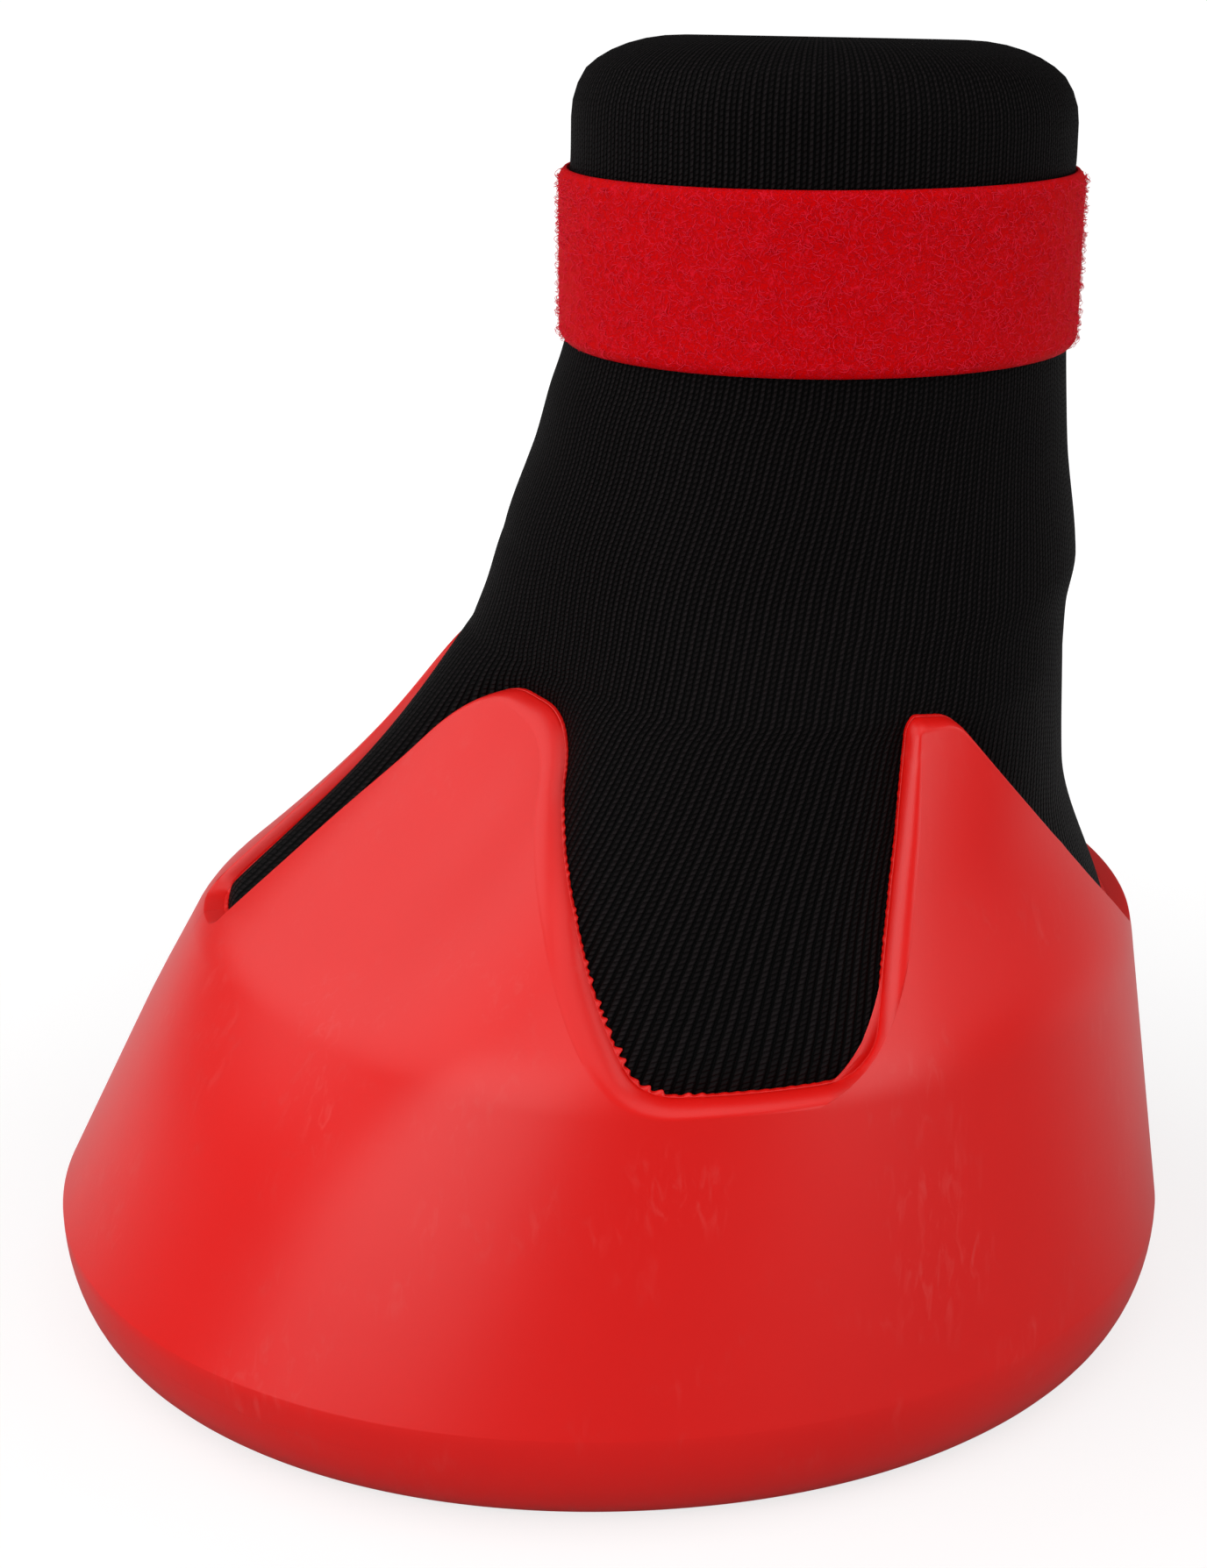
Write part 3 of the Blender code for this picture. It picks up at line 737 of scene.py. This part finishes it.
# %% Sock
SOCK_HALF_COLUMNS = 280
WALE_COUNT = 296
COURSE = 0.84 * MM
WALE_DRIFT = math.radians(10.5)
DRIFT_START = 104 * MM
DRIFT_RISE = 42 * MM
OUTSIDE_HEIGHTS = np.linspace(22, 58, 7) * MM
INSIDE_HEIGHTS = np.linspace(22, 58, 5) * MM
OUTSIDE_START, OUTSIDE_COUNT, CUFF_STEPS = 60 * MM, 150, 10
INSIDE_START, INSIDE_COUNT, INNER_CUFF_STEPS = 61 * MM, 42, 7
FLOOR_RING = 0.6


def floor_rows(outset):
    """Heights and outlines from the middle of the sock's sole out to its wall."""
    level = SOLE_THICKNESS + SEAT_GAP + outset
    radius = FLOOR_FILLET - SOCK_SIDE_GAP - outset
    base = drawn_in(sock_sizes(level), outset + radius)
    centre = middle_of(base)
    rows = [(level, centre), (level, centre + (base - centre) * FLOOR_RING)]
    for angle in np.linspace(0, math.pi / 2, FILLET_STEPS):
        height = level + radius * (1 - math.cos(angle))
        rows.append((height, drawn_in(sock_sizes(height), outset + radius * (1 - math.sin(angle)))))
    return rows


def cuff_rows(inset, steps):
    """Heights and outlines over the turned-in cuff, an inset under its outside."""
    shoulder = SOCK_HEIGHT - CUFF_ROUND
    up, across = CUFF_ROUND - inset, CUFF_REACH - inset
    return [(shoulder + up * math.sin(angle),
             drawn_in(sock_sizes(shoulder), CUFF_REACH - across * math.cos(angle)))
            for angle in np.linspace(0, math.pi / 2, steps)]


def sock_rows():
    """The sock's skin from the middle of its sole, up its outside, over the cuff and back down."""
    shoulder = SOCK_HEIGHT - CUFF_ROUND
    outside = [*OUTSIDE_HEIGHTS, *np.linspace(OUTSIDE_START, shoulder, OUTSIDE_COUNT)[:-1]]
    inside = [*INSIDE_HEIGHTS, *np.linspace(INSIDE_START, shoulder, INSIDE_COUNT)[:-1]]
    rows = floor_rows(0) + [(height, sock_sizes(height)) for height in outside]
    rows += cuff_rows(0, CUFF_STEPS)
    back = floor_rows(KNIT) + [(height, drawn_in(sock_sizes(height), KNIT)) for height in inside]
    back += cuff_rows(KNIT, INNER_CUFF_STEPS)
    turns = np.linspace(0, math.pi, SOCK_HALF_COLUMNS)
    places = []
    for height, sizes in rows + back[::-1]:
        swollen = swell(turns, np.full(len(turns), height))
        places.append(egg_points(turns, height, drawn_in(all_round(sizes, turns), -swollen)))
    return leaned(mirrored(np.array(places)))


def knit_map(places):
    """Wales round and courses along each point of the sock."""
    columns_round = places.shape[1]
    turns = np.linspace(0, 2 * math.pi, columns_round)
    drift = WALE_DRIFT * np.clip((places[..., 2] - DRIFT_START) / DRIFT_RISE, 0, 1)
    wales = WALE_COUNT * (turns - drift * np.sin(turns)) / (2 * math.pi)
    courses = travel_along(places[:, columns_round // 4]) / COURSE
    return np.stack([wales, np.broadcast_to(courses[:, None], wales.shape)], axis=-1)


sock_places = sock_rows()
sock = wrapped_grid("knitted_sock", sock_places, knit_map(sock_places))
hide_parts("sock")
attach(sock, "boot")

# %% [markdown]
# ## Flash along the rim
#
# The tub was moulded straight onto the sock. A little plastic crept past the mould's edge into the
# knit and left a thin ragged film there, which moulders call flash. It is a narrow ribbon that
# follows the rim: its inner edge lies under the petal and its outer edge is drawn out to a tooth
# wherever the plastic found a groove between two wales.

# %% Flash
FLASH_SPACING = 0.25 * MM
FLASH_UNDER = 1.2 * MM
FLASH_LEAST = 0.06 * MM
# Rows round its section: share of the reach past the rim, or below 0 of the part under the
# petal, and lift off the knit in millimetres
FLASH_SECTION = ((-1, 0.05), (-1, 0.64), (-0.13, 0.68), (0, 0.83), (0.35, 0.62), (1, 0.32),
                 (1, 0.12), (0, 0.05), (-1, 0.05))
# Where along a tooth its tip stands
TOOTH_TIP = 0.62
# A tooth's pitch and height vary between these shares of the table's values below
PITCH_SPREAD = (0.7, 1.3)
HEIGHT_SPREAD = (0.25, 1.25)
# Share of the half rim, height of the teeth and their pitch, both in millimetres
FLASH_TEETH = (
    (0.00, 0.25, 1.35), (0.13, 0.25, 1.50), (0.15, 0.04, 1.50),
    (0.21, 0.05, 1.20), (0.25, 0.20, 1.20),
    (0.30, 0.30, 1.40), (0.36, 0.32, 1.40), (0.40, 0.62, 1.70),
    (0.43, 0.62, 1.80), (0.45, 0.16, 1.35), (0.52, 0.16, 1.35),
    (0.56, 0.22, 1.10), (0.63, 0.20, 1.00), (0.65, 0.03, 1.20),
    (0.90, 0.05, 1.20), (1.00, 0.30, 1.35))


def tooth_reach(travel, length, chance):
    """How far the flash reaches past the rim at each place along it."""
    shares, heights, pitches = np.array(FLASH_TEETH).T * ((1,), (MM,), (MM,))
    reach = np.zeros(len(travel))
    start = 0.0
    while start < length:
        pitch = np.interp(start / length, shares, pitches) * chance.uniform(*PITCH_SPREAD)
        tall = np.interp(start / length, shares, heights) * chance.uniform(*HEIGHT_SPREAD)
        along = (travel - start) / pitch
        back = (1 - along) / (1 - TOOTH_TIP)
        tooth = np.clip(np.where(along < TOOTH_TIP, along / TOOTH_TIP, back), 0, 1)
        reach += tall * tooth * tooth * (3 - 2 * tooth)
        start += pitch
    return reach


def flash_half(seed):
    """Places of the flash's skin along half the rim, in the same order as the rim."""
    count = round(HALF_RIM / FLASH_SPACING)
    line, inward = rim_line(count)
    travel = np.linspace(0, HALF_RIM, count)
    reach = FLASH_LEAST + tooth_reach(travel, HALF_RIM, np.random.default_rng(seed))
    rows = []
    for share, lift in FLASH_SECTION:
        past = min(share, 0) * FLASH_UNDER + max(share, 0) * reach
        edge = line - inward * np.reshape(past, (-1, 1))
        turns, heights = math.pi * edge[:, 0] / RIM_LENGTH, edge[:, 1]
        out = swell(turns, heights) + lift * MM
        rows.append(egg_points(turns, heights, drawn_in(sock_sizes(heights), -out)))
    return np.array(rows)


near, far = flash_half(seed=3), flash_half(seed=8)[:, ::-1] * np.array((-1, 1, 1))
flash = wrapped_grid("rim_flash", np.concatenate([near, far[:, 1:]], axis=1))
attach(flash, "boot")

# %% [markdown]
# ## The insole
#
# A pad of closed-cell foam lies on the sock's sole. It was cut with a blade from a sheet, so its
# edge is upright, and it was pressed a little at the rim, so its top is slightly crowned.

# %% Insole
INSOLE_THICKNESS = 6.0 * MM
INSOLE_EDGE_INSET = 2.8 * MM
INSOLE_ROUND = 1.6 * MM
INSOLE_CROWN = 0.5 * MM
INSOLE_HALF_COLUMNS = 100
INSOLE_UNDER_RING = 0.8
INSOLE_TOP_RINGS = (0.93, 0.85, 0.7, 0.5, 0.25, 0)


def insole_rows():
    """The pad's skin from the middle of its underside to the middle of its top."""
    turns = np.linspace(0, math.pi, INSOLE_HALF_COLUMNS)
    bottom = SOLE_THICKNESS + SEAT_GAP + KNIT + SEAT_GAP
    top = bottom + INSOLE_THICKNESS
    edge = drawn_in(wall_sizes(top), WALL + SOCK_SIDE_GAP + KNIT + INSOLE_EDGE_INSET)
    centre = middle_of(edge)
    rows = [(bottom, centre), (bottom, centre + (edge - centre) * INSOLE_UNDER_RING)]
    for level, first, last in ((bottom + INSOLE_ROUND, -math.pi / 2, 0),
                               (top - INSOLE_ROUND, 0, math.pi / 2)):
        for angle in np.linspace(first, last, FILLET_STEPS):
            inset = INSOLE_ROUND * (1 - math.cos(angle))
            rows.append((level + INSOLE_ROUND * math.sin(angle), drawn_in(edge, inset)))
    for share in INSOLE_TOP_RINGS:
        rows.append((top + INSOLE_CROWN * (1 - share ** 2), centre + (edge - centre) * share))
    return mirrored(np.array([level_row(height, size, turns) for height, size in rows]))


insole = wrapped_grid("foam_insole", insole_rows())
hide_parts("insole")
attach(insole, "boot")

# %% [markdown]
# ## The strap
#
# The strap is a length of loop tape, woven flat and covered with a tangle of fine loops. It is
# sewn to the sock on the far side, goes once round the leg and laps over its own start, where
# hook tape under its free end holds it.

# %% Lie of the tape
TAPE_WIDTH = 25.4 * MM
STRAP_LOW = 151.4 * MM
LOOP_TAPE = 1.6 * MM
TAPE_BASE = 1.2 * MM
HOOK_TAPE = 1.0 * MM
# The leg's half width, toe and heel under the strap
LEG_SIZES = np.array((35.0, -5.7, 68.4)) * MM
STRAP_START = math.radians(238)
STRAP_END = STRAP_START + 2 * math.pi
STRAP_RAMP = math.radians(34)
TAIL_TURN = math.radians(66)
PATCH_TURNS = (math.radians(9), math.radians(61))
PATCH_WIDTH = 23.0 * MM
TAPE_STEP = math.radians(1.2)
TAPE_TURN_LENGTH = 37.0 * MM
# The tape thins towards its woven edges, by this share over this far
EDGE_THINNING = 0.65
EDGE_REACH = 1.6 * MM
BACK_ROWS = 18
EDGE_SHARES = (0.3, 0.7)
# Rows over its face from the top edge down, closer near the edges
FACE_SHARES = (0, 0.012, 0.025, 0.04, *np.linspace(0.07, 0.93, 14), 0.96, 0.975, 0.988, 1)
TAIL_LIE = SEAT_GAP + LOOP_TAPE + SEAT_GAP + HOOK_TAPE + SEAT_GAP
PATCH_LIE = SEAT_GAP + LOOP_TAPE + SEAT_GAP


def strap_lie(turns):
    """How far the strap lies off the knit: it climbs onto its own start at the end of its turn."""
    share = np.clip(1 - (STRAP_END - turns) / STRAP_RAMP, 0, 1)
    return SEAT_GAP + (TAIL_LIE - SEAT_GAP) * np.sin(share * math.pi / 2)


def tape_places(turns, lie, thickness, width):
    """Places of a tape's skin: round its section by rows, and along it by columns."""
    low = STRAP_LOW + (TAPE_WIDTH - width) / 2
    section = [(0, share) for share in np.linspace(0, 1, BACK_ROWS)]
    section += [(share, 1) for share in EDGE_SHARES]
    section += [(1, 1 - share) for share in FACE_SHARES]
    section += [(share, 0) for share in (*EDGE_SHARES[::-1], 0)]
    rows = []
    for out_share, up_share in section:
        edge = min(up_share, 1 - up_share) * width
        thin = EDGE_THINNING * max(0.0, 1 - edge / EDGE_REACH) ** 2
        out = lie + thickness * out_share * (1 - thin)
        rows.append(egg_points(turns, low + width * up_share,
                               drawn_in(all_round(LEG_SIZES, turns), -out)))
    return leaned(np.array(rows))


def capped(places):
    """The same places with both ends of the tape closed to a line."""
    start = np.broadcast_to(places[:, :1].mean(axis=0, keepdims=True), places[:, :1].shape)
    end = np.broadcast_to(places[:, -1:].mean(axis=0, keepdims=True), places[:, -1:].shape)
    return np.concatenate([start, places, end], axis=1)


def tape_piece(name, node, body, start, end, lie, thickness, width):
    """One length of tape round the leg, in place of its node."""
    turns = np.linspace(start, end, round((end - start) / TAPE_STEP))
    lies = lie(turns) if callable(lie) else np.full(len(turns), lie)
    places = tape_places(turns, lies, thickness, width)
    along = turns * TAPE_TURN_LENGTH
    across = np.linspace(0, 1, len(places)) * 2 * width
    stretch = np.stack(np.broadcast_arrays(along[None, :], across[:, None]), axis=-1)
    stretch = np.concatenate([stretch[:, :1], stretch, stretch[:, -1:]], axis=1)
    piece = wrapped_grid(name, capped(places), stretch)
    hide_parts(node)
    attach(piece, body)
    return piece


strap = tape_piece("strap_band", "strap", "boot", STRAP_START, STRAP_END, strap_lie, TAPE_BASE,
                   TAPE_WIDTH)
tail_start = STRAP_END + SEAT_GAP / LEG_SIZES[0]
tail = tape_piece("strap_free_end", "strap_tail", "strap_end", tail_start, STRAP_END + TAIL_TURN,
                  TAIL_LIE, TAPE_BASE, TAPE_WIDTH)
patch = tape_piece("hook_tape_patch", "hook_patch", "strap_end", STRAP_END + PATCH_TURNS[0],
                   STRAP_END + PATCH_TURNS[1], PATCH_LIE, HOOK_TAPE, PATCH_WIDTH)

# %% [markdown]
# The face of the tape is a tangle of loops of yarn finer than a hair, brushed up so that hooks can
# catch them. Each loop is drawn as a curve with a four-sided bevel, a few times coarser than the
# real yarn and far fewer, and the curves are turned into one mesh. The same way gives the hooks on
# the hook tape and the stitches of the seams.

# %% Loops, hooks and stitches
LOOP_YARN = 0.08 * MM
HOOK_WIRE = 0.16 * MM
THREAD = 0.34 * MM
LOOP_COUNT, TAIL_LOOP_COUNT = 5800, 1200
LOOP_POINTS = 5
LOOP_MARGIN = 0.2 * MM
LOOP_LEAST_RISE, LOOP_RISE = 0.05 * MM, 0.80 * MM
# Where a loop may root, as shares of the tape's width, and in millimetres how far it spans and
# how far it curls aside
LOOP_ROOTS, LOOP_SPANS, LOOP_CURLS = (0.03, 0.97), (0.5, 1.6), (-0.4, 0.4)
TAIL_MARGIN = 0.01
HOOK_ROWS = 15
HOOK_SPACING = 1.35 * MM
HOOK_MARGIN = 0.02
# A hook's points from its foot to its tip, in millimetres: how far aside and how far out
HOOK_BEND = np.array((0, 0, 0.06, 0.20, 0.32, 0.34)) * MM
HOOK_STAND = np.array((0, 0.25, 0.42, 0.46, 0.36, 0.26)) * MM
STITCH = 2.6 * MM
# A stitch's points: shares of its length, and how far it stands out of the tape or sinks in
STITCH_SHARES = np.array((0.06, 0.25, 0.5, 0.75, 0.94))
STITCH_RISES = np.array((-0.15, 0.10, 0.14, 0.10, -0.15)) * MM
TAIL_SEAM_MARGIN, START_SEAM_MARGIN = 3.0 * MM, 2.5 * MM
SEAM_INSET, START_SEAM_END = 0.05, 0.60


def on_tape(turns, heights, out):
    """Places a way out from the leg, at turns and heights on the tape."""
    return leaned(egg_points(turns, heights, drawn_in(all_round(LEG_SIZES, turns), -out)))


def threads(name, runs, thickness, body, material):
    """One mesh of thin threads, one for each run of places."""
    curve = bpy.data.curves.new(name, "CURVE")
    curve.dimensions = "3D"
    curve.bevel_depth = thickness / 2
    curve.bevel_resolution = 0
    for run in runs:
        spline = curve.splines.new("POLY")
        spline.points.add(len(run) - 1)
        spline.points.foreach_set("co", np.column_stack([run, np.ones(len(run))]).ravel())
    piece = bpy.data.objects.new(name, curve)
    bpy.context.scene.collection.objects.link(piece)
    select_only(piece)
    bpy.ops.object.convert(target="MESH")
    bpy.ops.object.shade_smooth()
    piece.data.materials.append(material)
    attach(piece, body)
    print(name, len(piece.data.polygons), "faces")


def loop_runs(first, last, lie, count, seed):
    """Loops scattered over a length of tape, each bent up and over in its own direction."""
    chance = np.random.default_rng(seed)

    def drawn(low, high):
        """A random value between two bounds for each loop."""
        return chance.uniform(low, high, (count, 1))

    turn = drawn(first, last)
    height = drawn(*LOOP_ROOTS) * TAPE_WIDTH
    way = drawn(0, 2 * math.pi)
    span = drawn(*LOOP_SPANS) * MM
    curl = drawn(*LOOP_CURLS) * MM
    rise = LOOP_LEAST_RISE + LOOP_RISE * drawn(0, 1) ** 2
    share = np.linspace(0, 1, LOOP_POINTS)[None, :]
    along = (share - 0.5) * span
    aside = curl * np.sin(math.pi * share)
    across = along * np.cos(way) - aside * np.sin(way)
    up = along * np.sin(way) + aside * np.cos(way)
    out = lie(turn) + TAPE_BASE - LOOP_YARN / 2 + rise * np.sin(math.pi * share)
    heights = STRAP_LOW + np.clip(height + up, LOOP_MARGIN, TAPE_WIDTH - LOOP_MARGIN)
    return on_tape(turn + across / TAPE_TURN_LENGTH, heights, out)


def hook_runs(seed):
    """Hooks in rows on the patch's inner face, each a stem that bends over."""
    chance = np.random.default_rng(seed)
    step = HOOK_SPACING / TAPE_TURN_LENGTH
    turns = np.arange(PATCH_TURNS[0] + HOOK_MARGIN, PATCH_TURNS[1] - HOOK_MARGIN, step)
    low = STRAP_LOW + (TAPE_WIDTH - PATCH_WIDTH) / 2
    runs = []
    for row in range(HOOK_ROWS):
        height = low + PATCH_WIDTH * (row + 0.5) / HOOK_ROWS
        for turn in turns + (row % 2) * 0.5 * step:
            bend = HOOK_BEND * chance.choice((-1, 1))
            turn_here = STRAP_END + turn + np.zeros(len(HOOK_BEND))
            runs.append(on_tape(turn_here, height + bend, PATCH_LIE - HOOK_STAND))
    return runs


def stitch_runs(corners, out):
    """Stitches along straight runs between corners, each sunk at its ends."""
    runs = []
    for (turn, height), (next_turn, next_height) in zip(corners, corners[1:]):
        length = math.hypot((next_turn - turn) * TAPE_TURN_LENGTH, next_height - height)
        count = max(round(length / STITCH), 1)
        for number in range(count):
            shares = (number + STITCH_SHARES) / count
            runs.append(on_tape(turn + (next_turn - turn) * shares,
                                height + (next_height - height) * shares, out + STITCH_RISES))
    return runs


def box_corners(first, last, margin):
    """The corners of a seam's box on the tape, and back to the first."""
    low, high = STRAP_LOW + margin, STRAP_LOW + TAPE_WIDTH - margin
    return [(first, low), (last, low), (last, high), (first, high), (first, low)]


loop_tape, loop_tape_tree, loop_tape_shader = new_material("loop_tape_nylon")
loop_yarn, _, loop_yarn_shader = new_material("loop_yarn_nylon")
hook_tape, _, hook_tape_shader = new_material("hook_tape_nylon")
strap_loops = loop_runs(STRAP_START + TAIL_TURN, STRAP_END, strap_lie, LOOP_COUNT, seed=5)
threads("strap_pile", strap_loops, LOOP_YARN, "boot", loop_yarn)
tail_loops = loop_runs(tail_start + TAIL_MARGIN, STRAP_END + TAIL_TURN - TAIL_MARGIN,
                       lambda turn: TAIL_LIE, TAIL_LOOP_COUNT, seed=6)
threads("free_end_pile", tail_loops, LOOP_YARN, "strap_end", loop_yarn)
threads("hooks", hook_runs(seed=7), HOOK_WIRE, "strap_end", hook_tape)
tail_box = box_corners(STRAP_END + PATCH_TURNS[0] + SEAM_INSET,
                       STRAP_END + PATCH_TURNS[1] - SEAM_INSET, TAIL_SEAM_MARGIN)
threads("free_end_seam", stitch_runs(tail_box, TAIL_LIE + TAPE_BASE), THREAD, "strap_end",
        loop_tape)
start_box = box_corners(STRAP_START + SEAM_INSET, STRAP_START + START_SEAM_END, START_SEAM_MARGIN)
start_box += [start_box[2], start_box[1], start_box[3]]
threads("start_seam", stitch_runs(start_box, SEAT_GAP + TAPE_BASE), THREAD, "boot",
        loop_tape)

# %% [markdown]
# ## Moulded polyurethane
#
# The tub's thermoplastic polyurethane comes out of a polished steel mould. That gives it a satin
# gloss with broad soft highlights. Light enters a little way before it comes back, which keeps
# the shaded side a full red. Handling leaves faint upright scuffs on the petals.

# %% Tub material
PARTING_HEIGHT = 10.5 * MM
PARTING_HALF_WIDTH = 0.22 * MM
PARTING_RISE = 0.10 * MM
SCUFF_STRETCH = (1.0, 1.0, 0.30)
tub_rubber, tree, shader = new_material("moulded_polyurethane")
place = object_place(tree)
cloud = noise(tree, place, scale=1 / (18 * MM), detail=3.0)
tone = mixed(tree, cloud.outputs["Fac"], "E60D08", "EC130C")
# Scuffs: noise drawn out upright, only where a second, broad noise lets it through
upright = add_node(tree, "ShaderNodeMapping", {"Vector": place, "Scale": SCUFF_STRETCH})
streaks = noise(tree, upright.outputs[0], scale=1 / (1.5 * MM), detail=4.0, Distortion=0.8)
patches = noise(tree, place, scale=1 / (14 * MM), detail=2.0)
worn = remapped(tree, patches.outputs["Fac"], before=(0.5, 0.72))
smear = remapped(tree, streaks.outputs["Fac"], before=(0.52, 0.75), after=(0, 0.12))
scuff = math_node(tree, "MULTIPLY", worn, smear)
skin = mixed(tree, scuff, tone, "F58A84")
grain = noise(tree, place, scale=1 / (0.7 * MM), detail=4.0)
grained = bumped(tree, grain.outputs["Fac"], 0.02 * MM, Strength=0.6)
# The two halves of the mould met in a level line round the foot, which shows at toe and heel
spot = add_node(tree, "ShaderNodeSeparateXYZ", {0: place})
on_line = math_node(tree, "COMPARE", spot.outputs["Z"], PARTING_HEIGHT, PARTING_HALF_WIDTH)
from_middle = math_node(tree, "ABSOLUTE", spot.outputs["Y"])
shows = remapped(tree, from_middle, before=(45 * MM, 65 * MM))
parting = math_node(tree, "MULTIPLY", on_line, shows)
ridged = bumped(tree, parting, PARTING_RISE, Normal=grained)
set_sockets(shader, {"Base Color": skin, "Roughness": 0.36, "Specular IOR Level": 0.45,
                     "Normal": ridged})
for piece in (tub, flash):
    cover(piece, tub_rubber)

# %% [markdown]
# ## Knit
#
# The sock is a plain knit of textured nylon yarn, dyed black. Of each stitch's V one arm stands
# out, so that a wale looks like a rope of slanted beads, with a groove to the next, painted dark as
# painted shade. The pattern is drawn from the UV map, where a wale is one unit wide and a course
# one unit high.

# %% Sock material
STITCH_HEIGHT = 0.8 * MM
LOW_WALE = 0.62
BEAD_LOW = 0.62
BEAD_SLANT = -0.55
WANDER = (0.22, 0.5, 0.0)
knit, tree, shader = new_material("knitted_nylon")
count = add_node(tree, "ShaderNodeUVMap").outputs["UV"]
# Real stitches wander a little from their straight rows
wobble = noise(tree, count, scale=0.45, detail=2.0)
wander = add_node(tree, "ShaderNodeVectorMath", {0: wobble.outputs["Color"], 1: (0.5, 0.5, 0.5)},
                  operation="SUBTRACT")
knitted = add_node(tree, "ShaderNodeVectorMath", {0: wander.outputs[0], 1: WANDER, 2: count},
                   operation="MULTIPLY_ADD")
parts = add_node(tree, "ShaderNodeSeparateXYZ", {0: knitted.outputs[0]})
in_wale = math_node(tree, "FRACT", parts.outputs["X"])
wale_number = math_node(tree, "FLOOR", parts.outputs["X"])
sideways = math_node(tree, "SUBTRACT", in_wale, 0.5)
off_middle = math_node(tree, "ABSOLUTE", sideways)
rope = remapped(tree, off_middle, before=(0.18, 0.50), after=(1, 0), curve="SMOOTHSTEP")
# Every second wale lies a little lower, as in a one-and-one rib
parity = math_node(tree, "PINGPONG", wale_number, 1.0)
ribbed = math_node(tree, "MULTIPLY", rope, remapped(tree, parity, after=(LOW_WALE, 1)))
# Each wale's beads start at a height of their own
shift = add_node(tree, "ShaderNodeTexWhiteNoise", {"W": wale_number}, noise_dimensions="1D")
shifted = math_node(tree, "ADD", parts.outputs["Y"], shift.outputs["Value"])
slant = math_node(tree, "MULTIPLY_ADD", sideways, BEAD_SLANT, shifted)
beads = math_node(tree, "PINGPONG", slant, 0.5)
bead = remapped(tree, beads, before=(0, 0.32), after=(BEAD_LOW, 1), curve="SMOOTHSTEP")
height = math_node(tree, "MULTIPLY", ribbed, bead)
# Painted shade: the knit's colour darkens where it lies lower, in the grooves, between the beads and
# on the lower wales
tone = mixed(tree, remapped(tree, height, before=(0.24, 0.85)), "010101", "1B1718")
# A few specks of pale lint
place = object_place(tree)
cells = add_node(tree, "ShaderNodeTexVoronoi", {"Vector": place, "Scale": 1 / (11 * MM)})
speck = remapped(tree, cells.outputs["Distance"], before=(0.010, 0.018), after=(0.7, 0))
set_sockets(shader, {"Base Color": mixed(tree, speck, tone, "8E8A86"), "Roughness": 0.6,
                     "Specular IOR Level": 0.04, "Normal": bumped(tree, height, STITCH_HEIGHT)})
cover(sock, knit)

# %% [markdown]
# ## Foam, loop tape and hook tape
#
# The insole is closed-cell foam cut from a sheet, matt with fine pits. The loop tape is nylon: a
# dyed weave under a tangle of fine curled loops, whose ends catch the light at the tape's edges.
# The weave's fine curling fibres are painted a lighter red, a painted sheen.

# %% Insole material
foam, tree, shader = new_material("closed_cell_foam")
place = object_place(tree)
pits = add_node(tree, "ShaderNodeTexVoronoi", {"Vector": place, "Scale": 1 / (0.8 * MM)})
set_sockets(shader, {"Base Color": linear_colour("2B2B2D"), "Roughness": 0.9,
                     "Normal": bumped(tree, pits.outputs["Distance"], 0.15 * MM)})
cover(insole, foam)


# %% Tape materials
FIBRE_HALF_WIDTH = 0.035


def fibre_lines(tree, place, spacing, seed):
    """Thin curling lines, 1 on a line and 0 off it: where a bent noise crosses its middle."""
    bent = add_node(tree, "ShaderNodeTexNoise",
                    {"Vector": place, "W": seed, "Scale": 1 / spacing, "Detail": 1.5,
                     "Distortion": 1.2}, noise_dimensions="4D")
    away = math_node(tree, "ABSOLUTE", math_node(tree, "SUBTRACT", bent.outputs["Fac"], 0.5))
    return remapped(tree, away, before=(0, FIBRE_HALF_WIDTH), after=(1, 0))


tree = loop_tape_tree
place = object_place(tree)
coarse = fibre_lines(tree, place, 1.3 * MM, 0.0)
fine = fibre_lines(tree, place, 0.8 * MM, 3.0)
tangle_and_sheen = math_node(tree, "MAXIMUM", coarse, fine)
# The tangle's lines raise fine fibres and paint them a lighter red, a painted sheen on the fibres
set_sockets(loop_tape_shader, {"Base Color": mixed(tree, tangle_and_sheen, "D20004", "E01428"),
                               "Roughness": 0.6, "Specular IOR Level": 0.04, "Sheen Weight": 0.03,
                               "Sheen Roughness": 0.45, "Sheen Tint": linear_colour("FF7884"),
                               "Normal": bumped(tree, tangle_and_sheen, 0.06 * MM)})
for piece in (strap, tail):
    cover(piece, loop_tape)

# The loops are painted a lighter, pinker red than the weave, a painted sheen besides the shader's
# own
set_sockets(loop_yarn_shader, {"Base Color": linear_colour("E81C38"), "Roughness": 0.5,
                               "Specular IOR Level": 0.10, "Sheen Weight": 0.28,
                               "Sheen Roughness": 0.30, "Sheen Tint": linear_colour("FF8C9A")})
set_sockets(hook_tape_shader, {"Base Color": linear_colour("9A0A14"), "Roughness": 0.5})
cover(patch, hook_tape)
